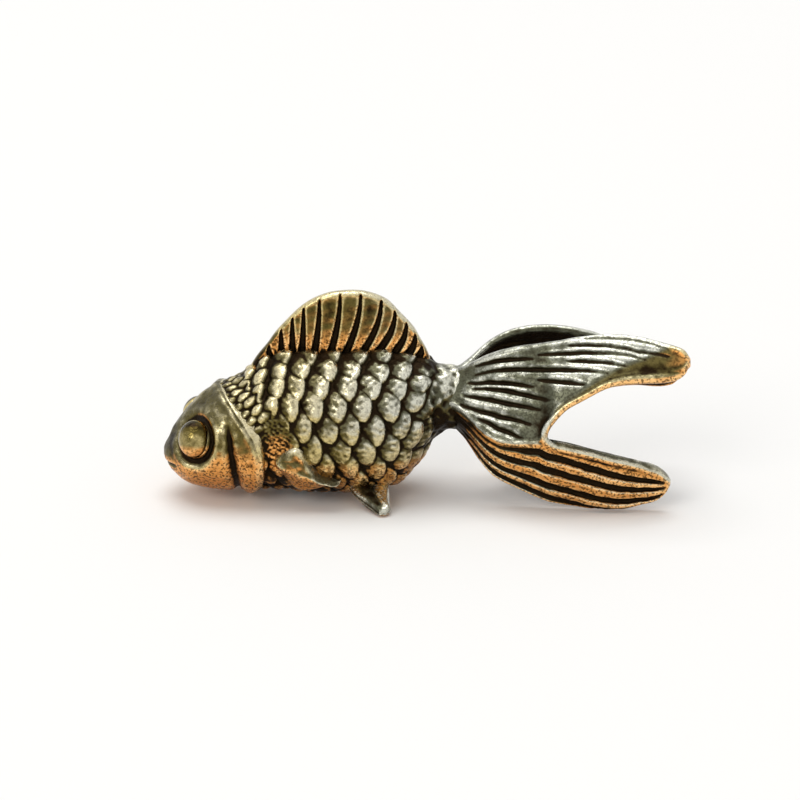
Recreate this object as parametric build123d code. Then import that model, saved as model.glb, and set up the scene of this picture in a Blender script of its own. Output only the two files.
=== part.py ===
from build123d import *
import os
from math import cos, hypot, pi, radians, sin

# A cast brass goldfish ornament, 46 mm long, that rests on its chin, its two pelvic
# fins and its lower tail lobes. The fish faces -X, its left side is -Y, and the
# table is the plane z = 0. Every piece is a solid casting; the eyes and fins have
# shanks, feet, pins and tenons that are brazed into sockets in the head and trunk.

# The three lengths that follow each other from nose to tail tip
HEAD_LENGTH = 6.8
TRUNK_LENGTH = 18.8
TAIL_LENGTH = 20.4

# Clearance of every brazed joint, and how far cutters run past what they cut
BRAZE_GAP = 0.05
OVERRUN = 2.0

# How many straight bands fill the gap between two rows of a table, on a curve through the rows
SKIN_BANDS = 2
TAIL_BANDS = 3

# Trunk
TRUNK_HEIGHT = 12.5
TRUNK_WIDTH = 9.9
BELLY_LIFT = 0.45
# Each row: place along the trunk, height of the section's centre, its half height, its half width
TRUNK_SHARES = [
    (-0.20, 0.350, 0.630, 0.640),
    (-0.11, 0.389, 0.718, 0.743),
    (0.00, 0.427, 0.800, 0.857),
    (0.144, 0.498, 0.950, 0.943),
    (0.33, 0.502, 0.997, 0.990),
    (0.543, 0.500, 1.000, 1.000),
    (0.69, 0.510, 0.959, 0.943),
    (0.80, 0.565, 0.809, 0.819),
    (0.862, 0.626, 0.641, 0.667),
    (0.925, 0.664, 0.504, 0.524),
    (1.00, 0.668, 0.458, 0.457),
]

# Scale coat: staggered columns of scales, closer together behind the gill band
SCALE_COLUMN_SHARES = [
    -0.070, -0.025, 0.020, 0.066, 0.113, 0.161, 0.210, 0.260, 0.311, 0.366, 0.423,
    0.480, 0.539, 0.597, 0.655, 0.714, 0.772, 0.831, 0.889, 0.948, 1.000,
]
SCALE_ROWS = 10
SCALE_RISE = 0.35
SCALE_SINK = 0.12
SCALE_CREST_SHARE = 0.17
SCALE_BULGE_SHARE = 0.13
# The columns lie further forward on the back and the belly, fading out towards the stem
SCALE_LEAN_SHARE = 0.112
SCALE_LEAN_FADE = 6

# Neck, where the head's spigot enters the trunk
NECK_LEAN = 18.0
NECK_HEIGHT = 5.2
SPIGOT_RADIUS = 2.2
SPIGOT_LENGTH = 3.0

# Head
HEAD_HEIGHT = 10.4
HEAD_WIDTH = 10.0
CHIN_DROP = 0.12
# Each row: place along the head, height of the section's centre, its half height, its half width
HEAD_SHARES = [
    (0.00, 0.377, 0.058, 0.080),
    (0.06, 0.376, 0.227, 0.310),
    (0.118, 0.377, 0.327, 0.430),
    (0.30, 0.409, 0.592, 0.690),
    (0.506, 0.466, 0.814, 0.840),
    (0.70, 0.496, 0.950, 0.940),
    (0.92, 0.499, 0.994, 0.990),
    (1.294, 0.499, 1.000, 1.000),
]
GILL_BAND = 1.3
GILL_GROOVE_WIDTH = 0.45
GILL_GROOVE_DEPTH = 0.35
MOUTH_WIDTH = 1.8
MOUTH_HEIGHT = 0.3
MOUTH_DEPTH = 0.5
MOUTH_SHARE = 0.30

# Eyes
EYE_RADIUS = 1.5
EYE_DOME = 1.4
EYE_SHANK_RADIUS = 0.7
EYE_SHANK_LENGTH = 1.4
EYE_SEAT_DEPTH = 0.6
EYE_RING = 0.35
EYE_ALONG_SHARE = 0.39
EYE_HEIGHT_SHARE = 0.571
EYE_FORWARD_ANGLE = 24.0
EYE_UP_ANGLE = 12.0

# Dorsal fin
DORSAL_LENGTH = 14.8
DORSAL_RISE = 5.95
DORSAL_THICKNESS = 1.5
DORSAL_EDGE = 0.35
DORSAL_START_SHARE = 0.09
DORSAL_PEAK_SHARE = 0.51
DORSAL_FOOT_SHARES = (0.15, 0.85)
DORSAL_FOOT_DEPTH = 1.6
DORSAL_RAYS = 10
RAY_DEPTH = 0.4
RAY_ROOT_WIDTH = 0.7
RAY_TIP_WIDTH = 0.2
RAY_RIM = 0.6
DORSAL_RAY_ROOT_SHARES = (0.12, 0.80)
DORSAL_RAY_TIP_SHARES = (0.12, 0.93)

# Pectoral fins
PECTORAL_LENGTH = 6.8
PECTORAL_WIDTH = 3.6
PECTORAL_THICKNESS = 1.2
PECTORAL_STANDOFF = 0.3
PECTORAL_DROOP = 17.0
PECTORAL_ALONG_SHARE = 0.165
PECTORAL_HEIGHT_SHARE = 0.34
PECTORAL_PIN_SHARE = 0.35
# Free edge, from the root's upper corner round the tip to its lower corner
PECTORAL_EDGE_SHARES = [
    (0.00, 0.42),
    (0.22, 0.50),
    (0.55, 0.34),
    (0.85, 0.06),
    (1.00, -0.16),
    (0.86, -0.38),
    (0.55, -0.50),
    (0.20, -0.46),
    (0.00, -0.34),
]
PECTORAL_RAYS = 4

# Pelvic fins
PELVIC_LENGTH = 4.2
PELVIC_WIDTH = 3.9
PELVIC_THICKNESS = 1.1
PELVIC_DROOP = 19.0
PELVIC_SWEEP = 14.0
PELVIC_ALONG_SHARE = 0.60
PELVIC_SIDE_SHARE = 0.50
# Free edge, from the root's front corner round the tip to its rear corner
PELVIC_EDGE_SHARES = [
    (-0.20, -0.50),
    (0.25, -0.36),
    (0.68, -0.08),
    (0.96, 0.18),
    (0.95, 0.40),
    (0.60, 0.47),
    (-0.20, 0.50),
]
PELVIC_RAYS = 3

# Where the grooves of the pectoral and pelvic fins end, and the pins of these fins
LEAF_INSIDE_SHARE = 0.86
PIN_RADIUS = 0.45
PIN_LENGTH = 1.4

# Tail fins
TAIL_HEIGHT = 15.8
TAIL_SPREAD = 12.0
TAIL_THICKNESS = 1.1
TAIL_SPLIT = 0.2
UPPER_RIBS = 7
LOWER_RIBS = 3
RIB_DEPTH = 0.3
TENON_LENGTH = 2.4
TENON_HEIGHT = 2.6
TENON_WIDTH = 1.1
# Web rows: place along the tail, then side and height of its top edge, ridge and bottom edge
LEFT_WEB_SHARES = [
    (0.118, (0.25, 0.835), (0.70, 0.440), (0.46, 0.207)),
    (0.25, (0.37, 0.905), (0.885, 0.405), (0.60, 0.099)),
    (0.377, (0.37, 0.934), (1.00, 0.424), (0.70, 0.034)),
]
RIGHT_WEB_SHARES = [
    (0.118, (0.27, 0.848), (0.63, 0.455), (0.37, 0.240)),
    (0.25, (0.38, 0.943), (0.77, 0.380), (0.48, 0.114)),
    (0.343, (0.40, 0.962), (0.83, 0.310), (0.53, 0.038)),
]
# Lobe rows: place along the tail, then side and height of the upper and the lower edge
LEFT_UPPER_SHARES = [
    (0.52, (0.37, 0.968), (0.95, 0.658)),
    (0.68, (0.43, 1.000), (0.93, 0.740)),
    (0.82, (0.53, 0.984), (0.92, 0.788)),
    (0.93, (0.65, 0.950), (0.88, 0.816)),
    (1.00, (0.75, 0.900), (0.81, 0.850)),
]
LEFT_LOWER_SHARES = [
    (0.52, (1.00, 0.390), (0.75, 0.000)),
    (0.68, (0.98, 0.332), (0.82, -0.015)),
    (0.82, (0.93, 0.277), (0.80, 0.027)),
    (0.89, (0.88, 0.223), (0.82, 0.083)),
    (0.925, (0.86, 0.175), (0.84, 0.140)),
]
RIGHT_UPPER_SHARES = [
    (0.52, (0.38, 0.949), (0.77, 0.481)),
    (0.68, (0.40, 0.873), (0.77, 0.538)),
    (0.80, (0.48, 0.791), (0.75, 0.557)),
    (0.92, (0.58, 0.690), (0.73, 0.560)),
    (0.975, (0.66, 0.625), (0.70, 0.590)),
]
RIGHT_LOWER_SHARES = [
    (0.485, (0.57, 0.171), (0.43, 0.003)),
    (0.63, (0.53, 0.127), (0.42, -0.010)),
    (0.73, (0.50, 0.095), (0.42, 0.003)),
    (0.785, (0.47, 0.060), (0.44, 0.025)),
]

SNOUT_X = -(HEAD_LENGTH + TRUNK_LENGTH + TAIL_LENGTH) / 2
NECK_X = SNOUT_X + HEAD_LENGTH
TAIL_JOINT_X = NECK_X + TRUNK_LENGTH
BACK_Z = BELLY_LIFT + TRUNK_HEIGHT
NECK_NORMAL = (cos(radians(NECK_LEAN)), 0, sin(radians(NECK_LEAN)))
NECK_PLANE = Plane((NECK_X, 0, NECK_HEIGHT), x_dir=(0, 1, 0), z_dir=NECK_NORMAL)
TABLE = Plane((0, 0, 0), z_dir=(0, 0, 1))
STANDING = Plane((0, 0, 0), x_dir=(1, 0, 0), z_dir=(0, -1, 0))
DOWN_FROM = (Align.CENTER, Align.CENTER, Align.MAX)
UP_FROM = (Align.CENTER, Align.CENTER, Align.MIN)


def upright(x, z):
    """Plane across the fish at x, centred at height z, its own y axis pointing up."""
    return Plane((x, 0, z), x_dir=(0, 1, 0), z_dir=(1, 0, 0))


def smooth_row(rows, place):
    """Row of a table of shares at any place along it, on cubics through the rows."""
    index = 1
    while index < len(rows) - 1 and rows[index][0] < place:
        index += 1
    before, after = rows[index - 1], rows[index]
    earlier = rows[max(index - 2, 0)]
    later = rows[min(index + 1, len(rows) - 1)]
    span = after[0] - before[0]
    step = (place - before[0]) / span
    values = []
    for column in range(1, len(before)):
        rise_before = (after[column] - earlier[column]) / (after[0] - earlier[0]) * span
        rise_after = (later[column] - before[column]) / (later[0] - before[0]) * span
        change = after[column] - before[column]
        bend = 3 * change - 2 * rise_before - rise_after
        twist = rise_before + rise_after - 2 * change
        values.append(before[column] + step * (rise_before + step * (bend + step * twist)))
    return values


def finer(rows, bands):
    """Table with more rows: each gap of the table is split into bands."""
    table = []
    for before, after in zip(rows, rows[1:]):
        for count in range(bands):
            place = before[0] + count / bands * (after[0] - before[0])
            table.append((place, *smooth_row(rows, place)))
    return table + [rows[-1]]


def oval_body(shares, start, length, height, width, lift, grow):
    """Loft of upright ellipses from a table of shares, each grown by the same amount."""
    ovals = []
    for along, centre, half_height, half_width in finer(shares, SKIN_BANDS):
        place = upright(start + along * length, lift + centre * height)
        ovals.append(place * Ellipse(half_width * width / 2 + grow, half_height * height / 2 + grow))
    return loft(ovals, ruled=True)


def trunk_skin(grow):
    """Smooth trunk without scales; grown by a clearance it cuts the seats of the fins."""
    return oval_body(TRUNK_SHARES, NECK_X, TRUNK_LENGTH, TRUNK_HEIGHT, TRUNK_WIDTH, BELLY_LIFT, grow)


def head_skin(grow, first_row):
    """Smooth head; the rows before first_row are left out where it is shrunk."""
    rows = HEAD_SHARES[first_row:]
    return oval_body(rows, SNOUT_X, HEAD_LENGTH, HEAD_HEIGHT, HEAD_WIDTH, -CHIN_DROP, grow)


def on_skin(skin, start, direction):
    """Where a straight probe leaves a skin: the last point that it meets, and the normal there."""
    aim = Vector(*direction)
    hits = []
    for band in skin.faces():
        hits = hits + list(band.find_intersection_points(Axis(start, direction)))
    point, normal = max(hits, key=lambda hit: (hit[0] - Vector(*start)).dot(aim))
    if normal.dot(aim) < 0:
        normal = -normal
    return point, normal


def faceted(facets):
    """Closed solid from flat facets, each a list of corners."""
    return Solid(Shell([Face(Wire.make_polygon(corners, close=True)) for corners in facets]))


def above_table(solid):
    return split(solid, bisect_by=TABLE, keep=Keep.TOP)


def groove(root, tip, root_width, tip_width):
    """Tapering groove outline from root to tip on the plane that it is drawn on."""
    along_x = tip[0] - root[0]
    along_y = tip[1] - root[1]
    length = hypot(along_x, along_y)
    side_x = -along_y / length
    side_y = along_x / length
    outline = []
    for (x, y), half in ((root, root_width / 2), (tip, tip_width / 2)):
        outline.append((x + side_x * half, y + side_y * half))
        outline.append((x - side_x * half, y - side_y * half))
    first, second, third, fourth = outline
    return make_face(Polyline(first, second, fourth, third, close=True))


# Eyes: a domed bead on a shank, looking outward, forward and a little up
def eye_plane(skin):
    start = (SNOUT_X + EYE_ALONG_SHARE * HEAD_LENGTH, 0, EYE_HEIGHT_SHARE * HEAD_HEIGHT)
    forward = radians(EYE_FORWARD_ANGLE)
    upward = radians(EYE_UP_ANGLE)
    gaze = Vector(-sin(forward) * cos(upward), -cos(forward) * cos(upward), sin(upward))
    point, _ = on_skin(skin, start, (0, -1, 0))
    return Plane(point - gaze * EYE_SEAT_DEPTH, z_dir=gaze)


def eye_blank():
    ball = (EYE_RADIUS * EYE_RADIUS + EYE_DOME * EYE_DOME) / (2 * EYE_DOME)
    dome = Pos(0, 0, EYE_DOME - ball) * Sphere(ball)
    dome = dome & Box(2 * EYE_RADIUS, 2 * EYE_RADIUS, 2 * EYE_DOME, align=UP_FROM)
    shank = Cylinder(EYE_SHANK_RADIUS, EYE_SHANK_LENGTH, align=DOWN_FROM)
    return dome + shank


def eye_seat():
    ring = Cylinder(EYE_RADIUS + EYE_RING, OVERRUN, align=UP_FROM)
    hole = Cylinder(EYE_SHANK_RADIUS + BRAZE_GAP, EYE_SHANK_LENGTH + BRAZE_GAP, align=DOWN_FROM)
    return ring + hole


# Head: blunt nose, mouth, gill band behind a groove, eye seats, spigot, flat chin
def make_head(skin, eye_place):
    head = split(skin, bisect_by=NECK_PLANE, keep=Keep.BOTTOM)
    slab = Box(HEAD_WIDTH * 2, HEAD_HEIGHT * 2, GILL_GROOVE_WIDTH)
    ring = NECK_PLANE.offset(-GILL_BAND) * slab - head_skin(-GILL_GROOVE_DEPTH, 2)
    mouth = Box(2 * MOUTH_DEPTH, MOUTH_WIDTH, MOUTH_HEIGHT)
    head = head - ring - Pos(SNOUT_X, 0, MOUTH_SHARE * HEAD_HEIGHT) * mouth
    seat = eye_place * eye_seat()
    head = head - seat - mirror(seat, about=Plane.XZ)
    head = head + NECK_PLANE * Cylinder(SPIGOT_RADIUS, SPIGOT_LENGTH, align=UP_FROM)
    return above_table(head)


# Dorsal fin: an arch of two arcs, grooved along its rays, with a foot in the back
def dorsal_outline():
    start = NECK_X + DORSAL_START_SHARE * TRUNK_LENGTH
    front = (start, BACK_Z - DORSAL_FOOT_DEPTH)
    rear = (start + DORSAL_LENGTH, BACK_Z - DORSAL_FOOT_DEPTH)
    peak = (start + DORSAL_PEAK_SHARE * DORSAL_LENGTH, BACK_Z + DORSAL_RISE)
    front_arc = TangentArc(peak, front, tangent=(-1, 0))
    rear_arc = TangentArc(peak, rear, tangent=(1, 0))
    return make_face([front_arc, rear_arc, Line(rear, front)])


def dorsal_foot(gap, above):
    """Foot of the fin, or with a gap its slot, from its depth in the back to a height above it."""
    start = NECK_X + DORSAL_START_SHARE * TRUNK_LENGTH
    front, rear = [start + share * DORSAL_LENGTH for share in DORSAL_FOOT_SHARES]
    height = DORSAL_FOOT_DEPTH + gap + above
    foot = Box(rear - front + 2 * gap, DORSAL_THICKNESS + 2 * gap, height)
    return Pos((front + rear) / 2, 0, BACK_Z + above - height / 2) * foot


def between(pair, step):
    first, last = pair
    return first + step * (last - first)


def dorsal_grooves(outline):
    start = NECK_X + DORSAL_START_SHARE * TRUNK_LENGTH
    inside = offset(outline, -RAY_RIM)
    rays = []
    for count in range(DORSAL_RAYS):
        step = count / (DORSAL_RAYS - 1)
        root_share = between(DORSAL_RAY_ROOT_SHARES, step)
        tip_share = between(DORSAL_RAY_TIP_SHARES, step)
        root = (start + root_share * DORSAL_LENGTH, BACK_Z)
        tip = (start + tip_share * DORSAL_LENGTH, BACK_Z + DORSAL_RISE)
        rays.append(groove(root, tip, RAY_ROOT_WIDTH, RAY_TIP_WIDTH) & inside)
    return rays


def dorsal_blade(gap):
    return extrude(STANDING * dorsal_outline(), amount=DORSAL_THICKNESS / 2 + gap, both=True)


def make_dorsal_fin(seat):
    outline = dorsal_outline()
    blade = dorsal_blade(0)
    rim = blade.edges().filter_by(GeomType.CIRCLE)
    blade = chamfer(rim, DORSAL_EDGE)
    foot = blade & dorsal_foot(0, DORSAL_EDGE)
    blade = blade - seat
    cuts = []
    for side in (-1, 1):
        face_plane = STANDING.offset(side * DORSAL_THICKNESS / 2)
        for ray in dorsal_grooves(outline):
            for face in ray.faces():
                cuts.append(extrude(face_plane * face, amount=RAY_DEPTH, both=True))
    return (blade - cuts) + foot


# Leaf fins: a flat leaf drawn with its root at the origin and its tip along its own x axis
def leaf_outline(edge_shares, length, width):
    points = [(along * length, across * width) for along, across in edge_shares]
    return make_face([Spline(*points), Line(points[-1], points[0])])


def leaf_blank(edge_shares, length, width, thickness):
    return extrude(leaf_outline(edge_shares, length, width), amount=thickness / 2, both=True)


def leaf(edge_shares, length, width, thickness, rays):
    blade = leaf_blank(edge_shares, length, width, thickness)
    shrunk_length = LEAF_INSIDE_SHARE * length
    shrunk_width = LEAF_INSIDE_SHARE * width
    inside = leaf_outline(edge_shares, shrunk_length, shrunk_width)
    cuts = []
    for count in range(rays):
        lean = (count + 1) / (rays + 1) - 1 / 2
        mark = groove((0, lean * width), (length, lean * width / 2), RAY_ROOT_WIDTH, RAY_TIP_WIDTH)
        for face in (mark & inside).faces():
            cuts.append(extrude(Plane.XY.offset(thickness / 2) * face, amount=RAY_DEPTH, both=True))
    return blade - cuts


def pectoral_plane(skin):
    height = BELLY_LIFT + PECTORAL_HEIGHT_SHARE * TRUNK_HEIGHT
    start = (NECK_X + PECTORAL_ALONG_SHARE * TRUNK_LENGTH, 0, height)
    point, normal = on_skin(skin, start, (0, -1, 0))
    droop = radians(PECTORAL_DROOP)
    return Plane(point + normal * PECTORAL_STANDOFF, x_dir=(cos(droop), 0, -sin(droop)), z_dir=normal)


def pectoral_pin(place, gap):
    pin = Cylinder(PIN_RADIUS + gap, PIN_LENGTH + gap, align=DOWN_FROM)
    return place * Pos(PECTORAL_PIN_SHARE * PECTORAL_LENGTH, 0, 0) * pin


def make_pectoral_fin(place, seat):
    size = (PECTORAL_LENGTH, PECTORAL_WIDTH, PECTORAL_THICKNESS)
    fin = place * leaf(PECTORAL_EDGE_SHARES, *size, PECTORAL_RAYS)
    return (fin - seat) + pectoral_pin(place, 0)


def pectoral_pocket(place):
    length = PECTORAL_LENGTH + BRAZE_GAP
    width = PECTORAL_WIDTH + 2 * BRAZE_GAP
    return place * leaf_blank(PECTORAL_EDGE_SHARES, length, width, PECTORAL_THICKNESS + 2 * BRAZE_GAP)


def pelvic_plane(skin):
    side = PELVIC_SIDE_SHARE * TRUNK_WIDTH / 2
    start = (NECK_X + PELVIC_ALONG_SHARE * TRUNK_LENGTH, -side, BELLY_LIFT + TRUNK_HEIGHT / 2)
    point, _ = on_skin(skin, start, (0, 0, -1))
    droop = radians(PELVIC_DROOP)
    sweep = radians(PELVIC_SWEEP)
    outward = (sin(sweep), -cos(sweep) * cos(droop), -sin(droop))
    return Plane(point, x_dir=outward, z_dir=(0, -sin(droop), cos(droop)))


def pelvic_pin(place, gap):
    pin = Cylinder(PIN_RADIUS + gap, 2 * PIN_LENGTH + gap, align=DOWN_FROM)
    return place * Pos(PIN_LENGTH, 0, 0) * Rot(0, 90, 0) * pin


def make_pelvic_fin(place, seat):
    fin = place * leaf(PELVIC_EDGE_SHARES, PELVIC_LENGTH, PELVIC_WIDTH, PELVIC_THICKNESS, PELVIC_RAYS)
    return above_table((fin - seat) + pelvic_pin(place, 0))


def pelvic_pocket(place):
    length = PELVIC_LENGTH + BRAZE_GAP
    width = PELVIC_WIDTH + 2 * BRAZE_GAP
    return place * leaf_blank(PELVIC_EDGE_SHARES, length, width, PELVIC_THICKNESS + 2 * BRAZE_GAP)


# Tail fins: sections drawn as (distance from the middle plane, height), top edge first
def inward(first, last):
    """Unit vector across a leg of a section, pointing to the inside of the tail."""
    out = last[0] - first[0]
    up = last[1] - first[1]
    length = hypot(out, up)
    return up / length, -out / length


def ribbed_leg(first, last, ribs, depth):
    """Points down a leg from crest to crest with a groove between each two, without the last crest."""
    in_out, in_up = inward(first, last)
    points = []
    for step in range(2 * ribs):
        share = step / (2 * ribs)
        sunk = depth if step % 2 else 0
        out = first[0] + share * (last[0] - first[0]) + in_out * sunk
        up = first[1] + share * (last[1] - first[1]) + in_up * sunk
        points.append((out, up))
    return points


def shifted(point, direction, distance):
    return point[0] + direction[0] * distance, point[1] + direction[1] * distance


def lobe_section(top, bottom, ribs):
    """One ribbed leg, thickened to the inside."""
    across = inward(top, bottom)
    points = ribbed_leg(top, bottom, ribs, RIB_DEPTH) + [bottom]
    return points + [shifted(bottom, across, TAIL_THICKNESS), shifted(top, across, TAIL_THICKNESS)]


def web_section(top, ridge, bottom):
    """Two ribbed legs that meet at the outer ridge, thickened to the inside."""
    above = inward(top, ridge)
    below = inward(ridge, bottom)
    mitre = TAIL_THICKNESS / (1 + above[0] * below[0] + above[1] * below[1])
    points = ribbed_leg(top, ridge, UPPER_RIBS, RIB_DEPTH)
    points = points + ribbed_leg(ridge, bottom, LOWER_RIBS, RIB_DEPTH)
    points = points + [bottom, shifted(bottom, below, TAIL_THICKNESS)]
    points.append((ridge[0] + (above[0] + below[0]) * mitre, ridge[1] + (above[1] + below[1]) * mitre))
    return points + [shifted(top, above, TAIL_THICKNESS)]


def root_section():
    """Half of the oval that ends the trunk, cut flat beside the middle plane."""
    _, centre, half_height, half_width = TRUNK_SHARES[-1]
    middle = BELLY_LIFT + centre * TRUNK_HEIGHT
    points = []
    for legs, start in ((UPPER_RIBS, pi / 2), (LOWER_RIBS, 0)):
        for step in range(2 * legs):
            angle = start - step / (2 * legs) * pi / 2
            out = cos(angle) * half_width * TRUNK_WIDTH / 2
            points.append((out, middle + sin(angle) * half_height * TRUNK_HEIGHT / 2))
    points.append((0, middle - half_height * TRUNK_HEIGHT / 2))
    points = [(out + TAIL_SPLIT / 2, up) for out, up in points]
    low = (TAIL_SPLIT / 2 - BRAZE_GAP / 2, points[-1][1])
    return points + [low, (low[0], middle), (low[0], points[0][1])]


def tail_loft(sections, side):
    """Facets through sections, each given as its place along the tail and its points."""
    rows = [(along, *[length for point in points for length in point]) for along, points in sections]
    rings = []
    for along, *lengths in finer(rows, TAIL_BANDS):
        x = TAIL_JOINT_X + along * TAIL_LENGTH
        rings.append([Vector(x, side * out, up) for out, up in zip(lengths[0::2], lengths[1::2])])
    facets = [rings[0], rings[-1]]
    for ring, after in zip(rings, rings[1:]):
        for count in range(len(ring)):
            facets.append((ring[count - 1], ring[count], after[count]))
            facets.append((ring[count - 1], after[count], after[count - 1]))
    return faceted(facets)


def in_tail(shares):
    return [(out * TAIL_SPREAD / 2, up * TAIL_HEIGHT) for out, up in shares]


def tail_tenon(side, gap):
    _, centre, _, _ = TRUNK_SHARES[-1]
    tenon = Box(2 * TENON_LENGTH + 2 * gap, TENON_WIDTH + 2 * gap, TENON_HEIGHT + 2 * gap)
    out = side * (TAIL_SPLIT + TENON_WIDTH) / 2
    return Pos(TAIL_JOINT_X, out, BELLY_LIFT + centre * TRUNK_HEIGHT) * tenon


def make_tail_fin(side, web_shares, upper_shares, lower_shares):
    web = [(0, root_section())]
    for row in web_shares:
        web.append((row[0], web_section(*in_tail(row[1:]))))
    notch = web_shares[-1][0]
    top, ridge, bottom = in_tail(web_shares[-1][1:])
    ribs = UPPER_RIBS - 1
    share = ribs / UPPER_RIBS
    crotch = (top[0] + share * (ridge[0] - top[0]), top[1] + share * (ridge[1] - top[1]))
    upper = [(notch, lobe_section(top, crotch, ribs))]
    for row in upper_shares:
        upper.append((row[0], lobe_section(*in_tail(row[1:]), ribs)))
    lower = [(notch, lobe_section(ridge, bottom, LOWER_RIBS))]
    for row in lower_shares:
        lower.append((row[0], lobe_section(*in_tail(row[1:]), LOWER_RIBS)))
    fin = tail_loft(web, side) + tail_loft(upper, side) + tail_loft(lower, side) + tail_tenon(side, 0)
    return above_table(fin)


# Scale coat: each scale is a shield of eight facets round a crest near its tip. A place in the
# coat is a pair (column, row); half rows lie between, so that neighbours share their edges.
def coat_share(column):
    """Place along the trunk of a column of the coat, also between two columns."""
    low = min(int(column), len(SCALE_COLUMN_SHARES) - 2)
    step = column - low
    return SCALE_COLUMN_SHARES[low] * (1 - step) + SCALE_COLUMN_SHARES[low + 1] * step


def downward(row):
    """Which way rows count down to the belly: 1 on one flank, -1 on the other, 0 on the middle lines."""
    turn = row % SCALE_ROWS
    if turn == 0 or turn == SCALE_ROWS / 2:
        return 0
    return 1 if turn < SCALE_ROWS / 2 else -1


def coat_point(column, row, rise):
    """Point of the coat, raised above the smooth trunk."""
    angle = 2 * pi * row / SCALE_ROWS
    share = coat_share(column)
    share = share - SCALE_LEAN_SHARE * (1 - abs(sin(angle))) * (1 - share ** SCALE_LEAN_FADE)
    centre, half_height, half_width = smooth_row(TRUNK_SHARES, share)
    out = sin(angle) * (half_width * TRUNK_WIDTH / 2 + rise)
    up = cos(angle) * (half_height * TRUNK_HEIGHT / 2 + rise)
    return Vector(NECK_X + share * TRUNK_LENGTH, out, BELLY_LIFT + centre * TRUNK_HEIGHT + up)


def coat_edge(column, row, along, across):
    """Middle of one edge of the scale at column and row; every edge bulges down the flank."""
    middle = row + across / 4
    return coat_point(column + along / 2, middle + SCALE_BULGE_SHARE * downward(middle), 0)


def scale_coat():
    """Closed solid of all scales, with a cap at the tail stem and a fan inside the neck."""
    last = len(SCALE_COLUMN_SHARES) - 1
    nose = Vector(coat_point(0, SCALE_ROWS / 4, 0).X, 0, NECK_HEIGHT)
    facets = []
    for column in range(1, last + 1):
        for count in range(SCALE_ROWS):
            row = count + (column - 1) % 2 / 2
            front = coat_point(column - 1, row, -SCALE_SINK)
            left = coat_point(column, row + 1 / 2, -SCALE_SINK)
            right = coat_point(column, row - 1 / 2, -SCALE_SINK)
            left_front = coat_edge(column, row, -1, 1)
            right_front = coat_edge(column, row, -1, -1)
            if column == last:
                facets = facets + [(front, left_front, left), (front, left, right)]
                facets.append((front, right, right_front))
                continue
            crest = coat_point(column, row + SCALE_CREST_SHARE * downward(row), SCALE_RISE)
            rear = coat_point(column + 1, row, -SCALE_SINK)
            left_rear = coat_edge(column, row, 1, 1)
            right_rear = coat_edge(column, row, 1, -1)
            outline = [front, left_front, left, left_rear, rear, right_rear, right, right_front]
            for first, second in zip(outline, outline[1:] + outline[:1]):
                facets.append((crest, first, second))
            if column == 1:
                facets = facets + [(nose, front, left_front), (nose, left_front, left)]
                facets = facets + [(nose, right_front, front), (nose, right, right_front)]
    ring = [coat_point(last, count + last % 2 / 2, -SCALE_SINK) for count in range(SCALE_ROWS)]
    return faceted(facets + [ring])


# Trunk: scaled body with the sockets of every piece that is brazed into it
def make_trunk(skin, pectoral_place, pelvic_place):
    trunk = split(scale_coat(), bisect_by=NECK_PLANE, keep=Keep.TOP)
    bore = NECK_PLANE * Cylinder(SPIGOT_RADIUS + BRAZE_GAP, SPIGOT_LENGTH + BRAZE_GAP, align=UP_FROM)
    pins = [pectoral_pin(pectoral_place, BRAZE_GAP), pelvic_pin(pelvic_place, BRAZE_GAP)]
    sockets = [bore, dorsal_foot(BRAZE_GAP, OVERRUN)]
    sockets = sockets + pins + [mirror(pin, about=Plane.XZ) for pin in pins]
    for side in (-1, 1):
        sockets.append(tail_tenon(side, BRAZE_GAP))
    # Under each fin the scales are cut back to the smooth trunk that the fin is seated on
    pockets = [pectoral_pocket(pectoral_place) - skin, pelvic_pocket(pelvic_place) - skin]
    pockets = pockets + [mirror(pocket, about=Plane.XZ) for pocket in pockets]
    return trunk - sockets - pockets - (dorsal_blade(BRAZE_GAP) - skin)


def write(node, shape):
    export_step(shape, "parts/" + node + ".step")


os.makedirs("parts", exist_ok=True)
whole_trunk = trunk_skin(0)
whole_head = head_skin(0, 0)
fin_seat = trunk_skin(BRAZE_GAP)
pectoral_place = pectoral_plane(whole_trunk)
pelvic_place = pelvic_plane(whole_trunk)
eye_place = eye_plane(whole_head)
eye = eye_place * eye_blank()
pectoral_fin = make_pectoral_fin(pectoral_place, fin_seat)
pelvic_fin = make_pelvic_fin(pelvic_place, fin_seat)

write("trunk", make_trunk(whole_trunk, pectoral_place, pelvic_place))
write("head", make_head(whole_head, eye_place))
write("left_eye", eye)
write("right_eye", mirror(eye, about=Plane.XZ))
write("dorsal_fin", make_dorsal_fin(fin_seat))
write("left_pectoral_fin", pectoral_fin)
write("right_pectoral_fin", mirror(pectoral_fin, about=Plane.XZ))
write("left_pelvic_fin", pelvic_fin)
write("right_pelvic_fin", mirror(pelvic_fin, about=Plane.XZ))
write("left_tail_fin", make_tail_fin(-1, LEFT_WEB_SHARES, LEFT_UPPER_SHARES, LEFT_LOWER_SHARES))
write("right_tail_fin", make_tail_fin(1, RIGHT_WEB_SHARES, RIGHT_UPPER_SHARES, RIGHT_LOWER_SHARES))
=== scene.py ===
# %% [markdown]
# # A small antique-brass goldfish
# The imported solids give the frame: where each piece is and how large it is. This lesson covers every
# solid with a finely modelled skin, because a cast ornament is all relief: scales, fin rays, gill covers.
# All lengths below are millimetres in the frame of the solids: the fish faces -X, its left side is -Y,
# and it stands on the table at z = 0.

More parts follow.
